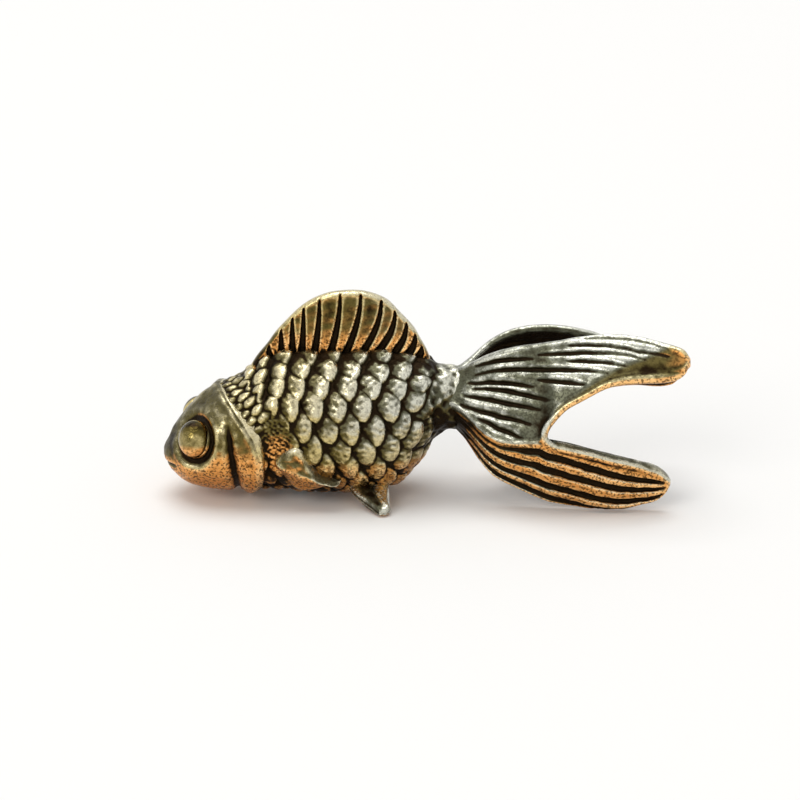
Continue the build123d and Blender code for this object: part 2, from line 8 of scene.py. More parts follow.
# %% Load the frame
import math
import bmesh
import bpy
import numpy as np
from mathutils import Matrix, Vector


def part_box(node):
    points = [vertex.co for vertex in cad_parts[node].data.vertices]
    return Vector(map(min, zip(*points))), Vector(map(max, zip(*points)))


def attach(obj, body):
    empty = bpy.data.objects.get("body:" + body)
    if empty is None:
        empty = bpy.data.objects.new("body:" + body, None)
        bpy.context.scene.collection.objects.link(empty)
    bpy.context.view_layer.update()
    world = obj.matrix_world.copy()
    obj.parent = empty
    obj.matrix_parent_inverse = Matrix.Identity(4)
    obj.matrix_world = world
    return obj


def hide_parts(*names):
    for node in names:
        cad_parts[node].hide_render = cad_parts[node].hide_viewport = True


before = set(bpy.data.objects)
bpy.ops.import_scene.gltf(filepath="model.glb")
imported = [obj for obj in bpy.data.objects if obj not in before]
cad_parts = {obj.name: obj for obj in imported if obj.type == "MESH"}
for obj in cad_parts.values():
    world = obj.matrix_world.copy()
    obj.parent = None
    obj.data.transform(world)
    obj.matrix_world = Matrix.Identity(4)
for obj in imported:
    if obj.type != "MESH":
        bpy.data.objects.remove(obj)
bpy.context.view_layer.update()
MM = 0.001
SNOUT_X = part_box("head")[0].x / MM
TAIL_TIP_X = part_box("left_tail_fin")[1].x / MM
print("nodes:", sorted(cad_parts))
print("fish from x =", round(SNOUT_X, 2), "to", round(TAIL_TIP_X, 2), "mm")

# %% [markdown]
# ## Tools for modelling in numbers
# A casting like this could be sculpted by hand, but a lesson has to give the same fish on each run, so every
# surface is a net of points worked out with arrays. A few small tools are enough: a smooth curve through
# given values, soft steps and humps, an uneven field such as casting leaves, and a net of rings turned into a
# mesh.

# %% Smooth curves, steps and humps
def flow(stations, values, at):
    """Natural cubic curve through given values."""
    x, y, at = (np.asarray(a, float) for a in (stations, values, at))
    gap = np.diff(x)
    left = np.eye(len(x))
    right = np.zeros(len(x))
    for i in range(1, len(x) - 1):
        left[i, i - 1:i + 2] = gap[i - 1], 2 * (gap[i - 1] + gap[i]), gap[i]
        right[i] = 6 * ((y[i + 1] - y[i]) / gap[i] - (y[i] - y[i - 1]) / gap[i - 1])
    bend = np.linalg.solve(left, right)
    k = np.clip(np.searchsorted(x, at) - 1, 0, len(gap) - 1)
    a = (x[k + 1] - at) / gap[k]
    b = 1 - a
    curve = (a ** 3 - a) * bend[k] + (b ** 3 - b) * bend[k + 1]
    return a * y[k] + b * y[k + 1] + curve * gap[k] ** 2 / 6


def trace(rows, at, k=1):
    """Smooth curve through the rows of a table: entry k against the first entry."""
    rows = np.asarray(rows)
    return flow(rows[:, 0], rows[:, k], at)


def step(low, high, at):
    """Smooth step from 0 at low to 1 at high."""
    t = np.clip((np.asarray(at, float) - low) / (high - low), 0, 1)
    return t * t * (3 - 2 * t)


def hump(at, middle, width):
    """Soft bell, 1 at the middle."""
    return np.exp(-((at - middle) / width) ** 2)


def rounded(t, power, least=0):
    """Rounded section: 1 at t = 0, falling to the root of least at t = -1 and t = 1."""
    return np.sqrt(np.clip(1 - t ** power, least, 1))


def full_turn(count):
    return np.linspace(0, 2 * math.pi, count, endpoint=False)


def run_along(points):
    """Length of the path up to each of its points."""
    return np.append(0, np.cumsum(np.linalg.norm(np.diff(points, axis=0), axis=1)))


def unit(vectors):
    """One vector, or each vector of an array, at length 1."""
    return vectors / np.linalg.norm(vectors, axis=-1, keepdims=True)


def on_left(points):
    """Points of the right side mirrored to the left side."""
    return np.where(points[..., 1:2] > 0, points * (1, -1, 1), points)


# %% Uneven fields and nets of rings
WAVES = 16


def uneven(points, size, seed):
    """Soft random field with bumps of about the given size, between about -1 and 1."""
    rng = np.random.default_rng(seed)
    waves = rng.normal(size=(WAVES, 3))
    waves = unit(waves) * rng.uniform(2.2, 4.4, WAVES)[:, None] / size
    phases = rng.uniform(0, 2 * math.pi, WAVES)
    return np.sin(points @ waves.T + phases).sum(-1) / 5


def net(name, rings):
    """Closed mesh over a stack of closed rings of points in millimetres."""
    rings = np.asarray(rings, float)
    rows, cols = rings.shape[:2]
    i, j = np.meshgrid(np.arange(rows - 1), np.arange(cols), indexing="ij")
    k = (j + 1) % cols
    quads = np.stack([i * cols + j, i * cols + k, (i + 1) * cols + k, (i + 1) * cols + j], -1)
    points = np.vstack([rings.reshape(-1, 3), rings[0].mean(0), rings[-1].mean(0)])
    first, last = rows * cols, rows * cols + 1
    caps = [(first, (c + 1) % cols, c) for c in range(cols)]
    caps += [(last, (rows - 1) * cols + c, (rows - 1) * cols + (c + 1) % cols) for c in range(cols)]
    mesh = bpy.data.meshes.new(name)
    mesh.from_pydata((points * MM).tolist(), [], quads.reshape(-1, 4).tolist() + caps)
    tidy = bmesh.new()
    tidy.from_mesh(mesh)
    bmesh.ops.recalc_face_normals(tidy, faces=tidy.faces)
    tidy.to_mesh(mesh)
    tidy.free()
    mesh.shade_smooth()
    piece = bpy.data.objects.new(name, mesh)
    bpy.context.scene.collection.objects.link(piece)
    return piece


# %% [markdown]
# ## Crests, hollows and painted light
# Antique brass is darkened all over and then rubbed, so the crests shine and the hollows stay black. The
# renderer could guess the hollows, but a value stored on each point also survives an export. A copy of the
# surface is relaxed like a stretched cloth: points left above the cloth are crests, points below it hollows,
# and painted shade and painted highlights given for each piece are added to this relief. Two more values are
# stored: the table reflection, which paints the warm reflection of a table on what faces down, with some
# tints of the brass added, and gold, which grows from the silvery tail to the head and is raised on faces
# turned down as painted warm reflection.

# %% Store relief, painted table reflection and gold on every point
FINE_ROUNDS, BROAD_ROUNDS = 6, 50
FINE_RELIEF, BROAD_RELIEF = 0.03, 0.12
SILVER_X, GOLD_X = 0, -16


def wear_and_painted_light(piece, shade_and_darkening=None, warm=None, gold_tint_and_reflection=None):
    """Store the three values; shade_and_darkening, warm and gold_tint_and_reflection are functions of place
    and normal, carrying painted shade, painted highlights and painted warm reflection besides darker and
    golden tones.
    """
    mesh = piece.data
    count = len(mesh.vertices)
    place = np.empty(count * 3)
    normal = np.empty(count * 3)
    ends = np.empty(len(mesh.edges) * 2, int)
    mesh.vertices.foreach_get("co", place)
    mesh.vertices.foreach_get("normal", normal)
    mesh.edges.foreach_get("vertices", ends)
    place = place.reshape(-1, 3) / MM
    normal = normal.reshape(-1, 3)
    a, b = ends[0::2], ends[1::2]
    links = np.bincount(a, minlength=count) + np.bincount(b, minlength=count)

    def relaxed(cloth, times):
        for _ in range(times):
            pulls = [np.bincount(a, row[b], count) + np.bincount(b, row[a], count) for row in cloth.T]
            cloth = np.stack(pulls, 1) / links[:, None]
        return cloth

    def store(name, values):
        values = np.clip(values, 0, 1)
        mesh.attributes.new(name, "FLOAT", "POINT").data.foreach_set("value", values)
        return values

    near = relaxed(place, FINE_ROUNDS)
    far = relaxed(near, BROAD_ROUNDS)
    fine = ((place - near) * normal).sum(1) / FINE_RELIEF
    broad = ((place - far) * normal).sum(1) / BROAD_RELIEF
    relief = 0.5 + 0.25 * (fine + broad)
    if shade_and_darkening:
        relief = relief - shade_and_darkening(place, normal)
    relief = store("relief", relief)
    # Painted reflection of a warm table: the more a face turns down, the more orange it gets.
    table_reflection_and_tint = 0.5 - 0.5 * normal[:, 2]
    if warm:
        table_reflection_and_tint = table_reflection_and_tint + warm(place, normal)
    table_reflection_and_tint = store("table_reflection_and_tint", table_reflection_and_tint)
    # Gold grows towards the head, and faces turned down get more as painted warm reflection.
    gold = 0.6 * step(SILVER_X, GOLD_X, place[:, 0]) + 0.35 * step(0.22, 0.44, table_reflection_and_tint)
    if gold_tint_and_reflection:
        gold = gold + gold_tint_and_reflection(place, normal)
    store("gold", gold)
    print(piece.name, count, "points, mean relief", round(float(relief.mean()), 3))


# %% [markdown]
# ## Patina and painted light
# One shader group mixes the three states of the metal, black hollow, olive skin and rubbed crest, from the
# stored relief, broken up by noise so that no edge is crisp; painted shade in the relief turns black like the
# hollows, and painted highlights take the crest colour. The stored gold tints skin and crest, and the stored
# table reflection turns them orange as painted warm reflection.
# A second group gives the fine pits of the casting. Painting by hand would look as good, but would have to be
# done again after every change of shape. Both materials use the groups with their own values.

# %% Node helpers
def socket(group, name, way, kind, value=None):
    made = group.interface.new_socket(name, in_out=way, socket_type=kind)
    if value is not None:
        made.default_value = value


def new_node(tree, kind, links=(), **values):
    node = tree.nodes.new(kind)
    for name, value in values.items():
        setattr(node, name, value)
    for name, source in links:
        if isinstance(source, bpy.types.NodeSocket):
            tree.links.new(source, node.inputs[name])
        else:
            node.inputs[name].default_value = source
    return node


def blend(tree, share, first, second):
    links = [(0, share), (6, first), (7, second)]
    return new_node(tree, "ShaderNodeMix", links, data_type="RGBA").outputs[2]


def sums(tree, operation, first, second):
    return new_node(tree, "ShaderNodeMath", [(0, first), (1, second)], operation=operation).outputs[0]


def spread(tree, value, low, high, to_low=0.0, to_high=1.0):
    links = [("Value", value), ("From Min", low), ("From Max", high), ("To Min", to_low), ("To Max", to_high)]
    return new_node(tree, "ShaderNodeMapRange", links, interpolation_type="SMOOTHSTEP").outputs[0]


# %% Casting pits
CLOUDS_PER_METRE = 1500.0
pits = bpy.data.node_groups.new("casting_pits", "ShaderNodeTree")
socket(pits, "Size", "INPUT", "NodeSocketFloat", 4000.0)
socket(pits, "Pit", "OUTPUT", "NodeSocketFloat")
socket(pits, "Mottle", "OUTPUT", "NodeSocketFloat")
enter = new_node(pits, "NodeGroupInput")
leave = new_node(pits, "NodeGroupOutput")
where = new_node(pits, "ShaderNodeTexCoord").outputs["Object"]
grain_links = [("Vector", where), ("Scale", enter.outputs["Size"]), ("Detail", 3.0)]
grain = new_node(pits, "ShaderNodeTexNoise", grain_links)
holes = spread(pits, grain.outputs["Fac"], 0.40, 0.50)
pits.links.new(holes, leave.inputs["Pit"])
cloud_links = [("Vector", where), ("Scale", CLOUDS_PER_METRE), ("Detail", 5.0)]
cloud = new_node(pits, "ShaderNodeTexNoise", cloud_links)
pits.links.new(cloud.outputs["Fac"], leave.inputs["Mottle"])
print("shader group", pits.name)

# %% Patina of three states, with painted shade, highlights and table reflection
HOLLOW_AND_SHADE_BLACK = (0.014, 0.008, 0.003, 1)
SKIN_SILVER = (0.088, 0.090, 0.061, 1)
SKIN_GOLD = (0.118, 0.090, 0.024, 1)
# Orange skin colour of the painted warm table reflection.
SKIN_TABLE_REFLECTION = (0.76, 0.35, 0.095, 1)
CREST_SILVER = (0.60, 0.605, 0.53, 1)
CREST_GOLD = (0.62, 0.50, 0.22, 1)
# Orange crest colour of the painted warm table reflection.
CREST_TABLE_REFLECTION = (1.0, 0.60, 0.245, 1)
MOTTLE_SHARE = 0.60
patina_and_painted_light = bpy.data.node_groups.new("antique_patina_and_painted_light", "ShaderNodeTree")
for name, value in (("Mottle", 0.5), ("Pit", 1.0), ("Rub", 0.0), ("Pitting", 1.0), ("Dullness", 1.0)):
    socket(patina_and_painted_light, name, "INPUT", "NodeSocketFloat", value)
socket(patina_and_painted_light, "Colour", "OUTPUT", "NodeSocketColor")
socket(patina_and_painted_light, "Roughness", "OUTPUT", "NodeSocketFloat")
socket(patina_and_painted_light, "Metal", "OUTPUT", "NodeSocketFloat")
enter = new_node(patina_and_painted_light, "NodeGroupInput")
leave = new_node(patina_and_painted_light, "NodeGroupOutput")
names = ("relief", "table_reflection_and_tint", "gold")
stored = [new_node(patina_and_painted_light, "ShaderNodeAttribute", attribute_name=name) for name in names]
relief, table_reflection_and_tint, gold = (node.outputs["Fac"] for node in stored)
shift = sums(patina_and_painted_light, "MULTIPLY", sums(patina_and_painted_light, "SUBTRACT", enter.outputs["Mottle"], 0.5), MOTTLE_SHARE)
level = sums(patina_and_painted_light, "ADD", sums(patina_and_painted_light, "ADD", relief, shift), enter.outputs["Rub"])
# Share of the painted table reflection.
reflection_and_tint_share = spread(patina_and_painted_light, table_reflection_and_tint, 0.44, 0.60)
# Black where the relief is low: in the hollows, and where shade is painted.
clear_of_patina_and_shade = spread(patina_and_painted_light, level, 0.22, 0.54)
rubbed_and_highlit = spread(patina_and_painted_light, level, 0.56, 1.02)
skin = blend(patina_and_painted_light, reflection_and_tint_share, blend(patina_and_painted_light, gold, SKIN_SILVER, SKIN_GOLD), SKIN_TABLE_REFLECTION)
shine = blend(patina_and_painted_light, reflection_and_tint_share, blend(patina_and_painted_light, gold, CREST_SILVER, CREST_GOLD), CREST_TABLE_REFLECTION)
skin_to_shine = blend(patina_and_painted_light, rubbed_and_highlit, skin, shine)
open_pits = spread(patina_and_painted_light, reflection_and_tint_share, 0.0, 1.0, 0.30, 0.90)
open_pits = sums(patina_and_painted_light, "MULTIPLY", open_pits, enter.outputs["Pitting"])
holes = sums(patina_and_painted_light, "MAXIMUM", enter.outputs["Pit"], sums(patina_and_painted_light, "SUBTRACT", 1.0, open_pits))
colour = blend(patina_and_painted_light, sums(patina_and_painted_light, "MULTIPLY", clear_of_patina_and_shade, holes), HOLLOW_AND_SHADE_BLACK, skin_to_shine)
patina_and_painted_light.links.new(colour, leave.inputs["Colour"])
rough = sums(patina_and_painted_light, "MULTIPLY", spread(patina_and_painted_light, level, 0.25, 0.85, 0.46, 0.22), enter.outputs["Dullness"])
patina_and_painted_light.links.new(rough, leave.inputs["Roughness"])
patina_and_painted_light.links.new(spread(patina_and_painted_light, level, 0.10, 0.36, 0.95, 1.0), leave.inputs["Metal"])
print("shader group", patina_and_painted_light.name)


# %% Two brasses from the same groups
def brass(name, rub, pitting, dullness, pits_per_metre, pit_depth):
    """Material with its own rub, pitting and dullness; the depth of the pits is in millimetres."""
    material = bpy.data.materials.new(name)
    material.use_nodes = True
    tree = material.node_tree
    shader = tree.nodes["Principled BSDF"]
    dents = new_node(tree, "ShaderNodeGroup", [("Size", pits_per_metre)], node_tree=pits)
    pit = dents.outputs["Pit"]
    values = [("Rub", rub), ("Pitting", pitting), ("Dullness", dullness)]
    links = [("Pit", pit), ("Mottle", dents.outputs["Mottle"])]
    tarnish = new_node(tree, "ShaderNodeGroup", values + links, node_tree=patina_and_painted_light)
    depth = [("Height", pit), ("Strength", 0.5), ("Distance", pit_depth * MM)]
    bump = new_node(tree, "ShaderNodeBump", depth)
    for made, given in (("Colour", "Base Color"), ("Roughness", "Roughness"), ("Metal", "Metallic")):
        tree.links.new(tarnish.outputs[made], shader.inputs[given])
    tree.links.new(bump.outputs["Normal"], shader.inputs["Normal"])
    return material


antique_brass = brass("antique_brass", 0.0, 0.86, 1.0, 4800.0, 0.05)
polished_brass = brass("polished_brass", 0.18, 0.6, 0.38, 4000.0, 0.02)
print("materials:", antique_brass.name, polished_brass.name)


def dress(piece, node, shade_and_darkening=None, warm=None, gold_tint_and_reflection=None, slot="antique_brass", material=antique_brass):
    """Finish a piece: stored tones with painted shade and reflection, material, and the solid that it stands
    for.
    """
    wear_and_painted_light(piece, shade_and_darkening, warm, gold_tint_and_reflection)
    piece.data.materials.append(material)
    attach(piece, "root")
    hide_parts(node)


# %% [markdown]
# ## The body under the scales
# Head and trunk are stacks of ovals, given by centre height, half height and half width at stations along
# the fish. Sculpting would do, but ovals are easy to check against the photo. The gill cover ends in a curve
# that is far forward on the nape and reaches back low on the cheek, so the rings of both pieces are sheared
# to follow it.

# %% Ovals of the head and the trunk
# Rows of station, centre height, half height and half width, as shares of the trunk's own lengths
TRUNK_OVALS = np.array([
    (-0.20, 0.350, 0.630, 0.640), (-0.11, 0.389, 0.718, 0.743), (0.00, 0.427, 0.800, 0.857),
    (0.144, 0.498, 0.950, 0.943), (0.33, 0.502, 0.997, 0.990), (0.543, 0.500, 1.0, 1.0),
    (0.69, 0.510, 0.959, 0.943), (0.80, 0.565, 0.809, 0.819), (0.862, 0.626, 0.641, 0.667),
    (0.925, 0.664, 0.504, 0.524), (1.0, 0.668, 0.458, 0.457), (1.06, 0.668, 0.42, 0.36),
    (1.11, 0.668, 0.33, 0.20), (1.14, 0.668, 0.2, 0.06),
]) * (18.8, 12.5, 6.25, 4.95) + (-16.2, 0.45, 0, 0)
HEAD_OVALS = np.array([
    (-23.2, 3.80, 0.0, 0.0), (-22.93, 3.78, 0.92, 1.25), (-22.36, 3.80, 1.70, 2.15),
    (-21.1, 4.15, 3.05, 3.45), (-19.62, 4.80, 4.15, 4.20), (-18.24, 5.20, 4.75, 4.70),
    (-16.74, 5.30, 4.90, 4.95), (-13.4, 5.35, 4.95, 5.05),
])
NOSE = HEAD_OVALS[0, 0]


def oval(x, turn, centre, tall, wide):
    """Points of upright ovals; turn goes from the back (0) over the left side to the belly (pi)."""
    return np.stack([x + 0 * turn, -wide * np.sin(turn), centre + tall * np.cos(turn)], -1)


def trunk_skin(x, turn):
    """Point of the smooth trunk."""
    return oval(x, turn, *(trace(TRUNK_OVALS, x, k) for k in (1, 2, 3)))


def back_height(x):
    """Height of the smooth back."""
    return trace(TRUNK_OVALS, x, 1) + trace(TRUNK_OVALS, x, 2)


def head_skin(x, turn):
    """Point of the smooth head; square roots along the nose keep it blunt."""
    along = np.sqrt(np.maximum(x - NOSE, 0))
    rows = np.sqrt(HEAD_OVALS[:, 0] - NOSE)
    return oval(x, turn, *(flow(rows, HEAD_OVALS[:, k], along) for k in (1, 2, 3)))


def outward(points):
    """Unit normals of a net of points that closes round its second index, pointing away from its axis."""
    along = np.gradient(points, axis=0)
    across = (np.roll(points, -1, 1) - np.roll(points, 1, 1)) / 2
    normal = np.cross(along, across)
    normal = normal / np.maximum(np.linalg.norm(normal, axis=2), 1e-9)[..., None]
    away = points - points.mean(1, keepdims=True)
    return normal * np.sign((normal * away).sum(2).mean())


# %% Rear edge of the gill cover
GILL_EDGE = [
    (0, -18.1), (25, -17.6), (52, -16.4), (79, -14.95), (103, -14.4),
    (123, -14.4), (145, -14.8), (165, -15.2), (180, -15.3),
]


def fold_of(turn):
    """Degrees from the back, 0, to the belly, 180, on either side."""
    return np.degrees(np.abs((turn + math.pi) % (2 * math.pi) - math.pi))


def gill_edge(turn):
    return trace(GILL_EDGE, fold_of(turn))


print("trunk height", round(float(2 * TRUNK_OVALS[:, 2].max()), 2), "mm")

# %% [markdown]
# ## Trunk with its scales
# On the real fish each scale is a small domed shield that points to the rear and down, and laps over the
# next. Displacing a pattern texture would repeat too evenly, so every scale is placed by itself on a lattice
# that leans back towards the belly, gets its own slight change of place and height, and the highest scale
# wins at each point. Each scale gets painted shade on its front and a painted highlight on its rear. Near the
# gill they are small and pebbly, a bare rough patch lies behind the cheek, and the stem is lumpy.

# %% Lattice of scales
ROW_TURN = 18.0
FIRST_ROW = 7
COLUMNS = range(-9, 7)
ROW_LEANS = [-1.85, 0.0, 1.76, 3.26, 4.40, 5.46, 6.43, 7.30, 8.10, 8.90]
SCALE_PITCH = 2.2
SCALE_WIDTH = 1.95
SCALE_RISE = 0.42
SCALE_HALF_WIDTH = 1.14
SCALE_TIP, SCALE_ROOT = 1.85, 1.5
LEAN_SIN, LEAN_COS = 0.26, 0.97
SCALE_GAP = -0.16
MIDDLE_X, SQUEEZE_X = -8.9, -13.0
SQUEEZE, SQUEEZE_REACH = 0.3, 1.2


def column(x):
    """Count of scale columns from the middle of the flank; the columns are closer near the gill."""
    squeezed = np.log1p(np.exp((SQUEEZE_X - x) / SQUEEZE_REACH))
    at_middle = math.log1p(math.exp((SQUEEZE_X - MIDDLE_X) / SQUEEZE_REACH))
    return (x - MIDDLE_X) / SCALE_PITCH - SQUEEZE * (squeezed - at_middle)


def scales(x, turn, seed):
    """Height of the scale coat on one side of the fish, and the painted shade on the front and the painted
    highlight on the rear of each scale.
    """
    rng = np.random.default_rng(seed)
    col = column(x)
    row = (fold_of(turn) - FIRST_ROW) / ROW_TURN
    rounder = 1 + 0.42 * step(-12.2, -14.2, x)
    coat = np.full(np.broadcast(x, turn).shape, SCALE_GAP)
    shade = np.zeros(coat.shape)
    for j, lean in enumerate(ROW_LEANS):
        for i in COLUMNS:
            push = rng.uniform(-0.09, 0.09, 2)
            rise = SCALE_RISE * rng.uniform(0.68, 1.22)
            dx = SCALE_PITCH * (col - i - push[0] - lean / SCALE_PITCH)
            dy = SCALE_WIDTH * (row - j - push[1])
            p = (LEAN_SIN * dx + LEAN_COS * dy) * rounder
            q = LEAN_COS * dx - LEAN_SIN * dy
            tip = (np.abs(q) / SCALE_HALF_WIDTH) ** 1.7 + (np.clip(p, 0, None) / SCALE_TIP) ** 1.7
            root = (q / SCALE_HALF_WIDTH) ** 2 + (p / SCALE_ROOT) ** 2
            r = np.where(p > 0, tip, root)
            dome = rise * np.clip(1 - r, 0, 1) ** 0.5 + 0.15 * p + 0.13 * q - 0.17
            wins = (r < 1) & (dome > coat)
            # Painted shade on the front of the scale and a painted highlight on its rear.
            rear = q + 0.35 * p
            shade_and_darkening = 0.24 * step(0.15, -0.75, rear) - 0.09 * step(0.0, 0.5, rear)
            shade = np.where(wins, shade_and_darkening, shade)
            coat = np.where(wins, dome, coat)
    return coat, shade


# %% Pebbles behind the gill cover
PEBBLE_START, PEBBLE_PITCH, PEBBLE_ROW = -18.2, 1.15, 1.05
PEBBLE_TURN = 10
PEBBLE_RISE, PEBBLE_GAP = 0.34, -0.12
PEBBLE_AREA = 0.44


def pebbles(x, turn):
    """Height of the small round scales just behind the gill cover."""
    rng = np.random.default_rng(13)
    fold = fold_of(turn)
    coat = np.full(np.broadcast(x, turn).shape, PEBBLE_GAP)
    for j in range(18):
        for i in range(7):
            push = rng.uniform(-0.16, 0.16, 2)
            dx = x - PEBBLE_START - PEBBLE_PITCH * (i + 0.5 * (j % 2)) - push[0]
            dy = PEBBLE_ROW * (fold / PEBBLE_TURN - j) - push[1]
            dome = np.sqrt(np.clip(1 - (dx ** 2 + dy ** 2) / PEBBLE_AREA, 0, 1))
            coat = np.maximum(coat, PEBBLE_RISE * dome + PEBBLE_GAP)
    return coat


# %% Trunk net
ALONG, ROUND = 300, 320
UNDER_GILL = 1.2
STEM_END_X = 5.2
BARE_X, BARE_FOLD = -13.1, 93


def bare_patch(x, fold, long, high):
    """Soft oval behind the cheek."""
    return np.exp(-((x - BARE_X) / long) ** 2 - ((fold - BARE_FOLD) / high) ** 2)


turn = full_turn(ROUND)[None, :]
share = np.linspace(0, 1, ALONG)[:, None]
start = gill_edge(turn) - UNDER_GILL
x = start + share * (STEM_END_X - start)
base = trunk_skin(x, turn)
near_coat, near_shade = scales(x, turn, 11)
far_coat, far_shade = scales(x, turn, 12)
coat = np.where(turn < math.pi, near_coat, far_coat)
fold = fold_of(turn)
pebbly = step(2.4, 1.7, x - gill_edge(turn)) * step(100, 80, fold)
coat = coat * (1 - pebbly) + pebbles(x, turn) * pebbly
bare = step(0.15, 0.75, bare_patch(x, fold, 1.7, 24))
stem = step(-0.4, 1.0, x)
# Painted shade and highlight of the scales, left out on the pebbles, the bare patch and the stem.
shade = np.where(turn < math.pi, near_shade, far_shade) * (1 - pebbly) * (1 - bare) * (1 - stem)
coat = coat * (1 - bare) * (1 - stem) - 0.03 * bare
dorsal_welt = hump(fold, 10, 11) * step(-15.2, -13.6, x) * step(0.3, -1.2, x)
coat = coat + 0.40 * dorsal_welt
rough = 0.04 * uneven(base, 0.9, 3) * (1 - 0.8 * bare)
rough = rough + 0.02 * uneven(base, 0.3, 4) * (1 - bare)
rough = rough + 0.03 * uneven(base, 0.2, 14) * bare
rough = rough + 0.09 * uneven(base, 0.55, 21) * step(-0.6, 0.4, x) * step(3.2, 2.4, x)
trunk_points = base + outward(base) * (coat + rough)[..., None]
trunk_points[..., 2] = np.maximum(trunk_points[..., 2], 0.05)
trunk = net("trunk_skin", trunk_points)


# %% Trunk tones
def trunk_shade_and_darkening(place, normal):
    """Darker along the foot of the dorsal fin, just behind the gill cover, on the bare patch and at the nub;
    painted shade low on the belly and on the lower stem, a painted highlight on the top of the stem, and the
    painted shade and highlight of each scale.
    """
    x, y, z = place.T
    turn = np.arctan2(-y, z - trace(TRUNK_OVALS, x))
    behind = x - gill_edge(turn)
    fold = fold_of(turn)
    foot = step(2.5, 1.1, np.abs(y)) * (z > 9) * step(-15.2, -14.4, x) * step(1.4, 0.4, x)
    bare = bare_patch(x, fold, 1.5, 22)
    stem = step(-0.2, 1.4, x)
    nub = step(3.2, 3.8, x)
    # Painted shade low on the belly, at the front and at the rear.
    belly = step(4.0, 2.8, z) * step(-6.5, -8.0, x)
    rear_belly = step(5.0, 3.2, z) * step(-5.5, -2.5, x)
    dark = 0.55 * foot + 0.35 * step(0.9, 0.25, behind) + 0.16 * bare
    dark = dark + 0.55 * belly + 0.16 * rear_belly + 0.5 * nub
    dark[:shade.size] = dark[:shade.size] + shade.ravel()
    # Painted shade on the lower half of the stem, painted highlight on its upper half.
    return dark + stem * (0.45 * step(80, 125, fold) - 0.36 * step(85, 45, fold))


def trunk_warm(place, normal):
    """The bare patch is brown, and the flank stays olive down to the belly; faces turned straight down get
    less of the painted table reflection.
    """
    bare = np.exp(-((place[:, 0] + 13.0) / 1.5) ** 2 - ((place[:, 2] - 5.4) / 1.8) ** 2)
    flank = (1 - bare) * step(3.6, 5.2, place[:, 2])
    facing_down = np.clip(-0.5 * normal[:, 2] - 0.02, 0, None)
    return 0.15 * bare - 0.13 * flank - 0.9 * facing_down


def trunk_gold_and_reflection(place, normal):
    """A little more golden all over, and more golden on faces turned down, such as the lower part of each
    scale, as painted warm reflection.
    """
    return 0.10 + 0.32 * step(0.36, 0.62, 0.5 - 0.5 * normal[:, 2])


dress(trunk, "trunk", trunk_shade_and_darkening, trunk_warm, trunk_gold_and_reflection)

# %% [markdown]
# ## Head
# The head is one smooth form with a few deep marks: a moat round each eye, a groove down the cheek, the
# thick rolled rim of the gill cover, a ridge along the nose and a short mouth. They could be cut as solids.
# Here each mark is a hump or a hollow added along the normal, which keeps the net even and lets the marks
# run into each other softly as in cast wax.

# %% Eyes look forward and a little up
EYE_RADIUS = 1.5
EYE_DOME = 1.4
EYE_OVAL = (0.98, 1.12)
EYE_X, EYE_LIFT, EYE_SINK = -20.35, 0.45, 0.25
MOAT_RADIUS, MOAT_SHIFT = 1.72, (0.08, 0, -0.10)
forward, upward = math.radians(24), math.radians(12)
eye_rest = head_skin(np.array([[EYE_X]]), np.array([[math.acos(EYE_LIFT)]]))[0, 0]
flatly = math.cos(upward)
gaze = np.array([-math.sin(forward) * flatly, -math.cos(forward) * flatly, math.sin(upward)])
eye_seat = eye_rest - gaze * EYE_SINK
eye_across = unit(np.cross(gaze, [0, 0, 1]))
eye_upright = np.cross(eye_across, gaze)


def from_moat(points):
    """Distance of points on the left side from the middle of the moat, and 1 for points near the eye."""
    off = points - eye_seat - np.array(MOAT_SHIFT)
    ring = np.hypot(off @ eye_across / EYE_OVAL[0], off @ eye_upright / EYE_OVAL[1])
    return ring, (np.linalg.norm(points - eye_seat, axis=-1) < 4) * 1.0


def from_cheek_groove(x, z):
    """Distance behind the groove that runs down the cheek."""
    return x - (-17.3 + 0.115 * (7.5 - z))


print("left eye seat", eye_seat.round(2))

# %% Head net with its marks
HEAD_ALONG, HEAD_ROUND = 230, 300
turn = full_turn(HEAD_ROUND)[None, :]
share = np.linspace(0.012, 1, HEAD_ALONG)[:, None] ** 1.35
edge = gill_edge(turn)
x = NOSE + share * (edge - NOSE)
base = head_skin(x, turn)
normal = outward(base)
y, z = base[..., 1], base[..., 2]
ring, near_eye = from_moat(on_left(base))
marks = (-0.46 * hump(ring, MOAT_RADIUS, 0.30) + 0.07 * hump(ring, 2.4, 0.3)) * near_eye
groove_width = 0.30 + 0.13 * step(7.5, 4.0, z)
marks = marks - 0.48 * hump(from_cheek_groove(x, z), 0, groove_width) * step(8.8, 5.2, z)
before_edge = edge - x
marks = marks + 0.14 * hump(before_edge, 1.0, 0.75) * step(9.3, 7.4, z)
marks = marks + 0.24 * hump(before_edge, 0.35, 0.38)
on_nose = step(-22.9, -22.0, x) * step(-18.0, -19.6, x) * step(4.0, 5.5, z)
marks = marks + 0.30 * hump(y, 0, 0.9) * on_nose
marks = marks - 0.20 * hump(z, 3.1 + 0.10 * (x + 23), 0.15) * step(-21.8, -22.4, x)
marks = marks + 0.032 * uneven(base, 1.1, 5) + 0.013 * uneven(base, 0.4, 6)
skin_points = base + normal * marks[..., None]
skin_points[..., 2] = np.maximum(skin_points[..., 2], 0.0)

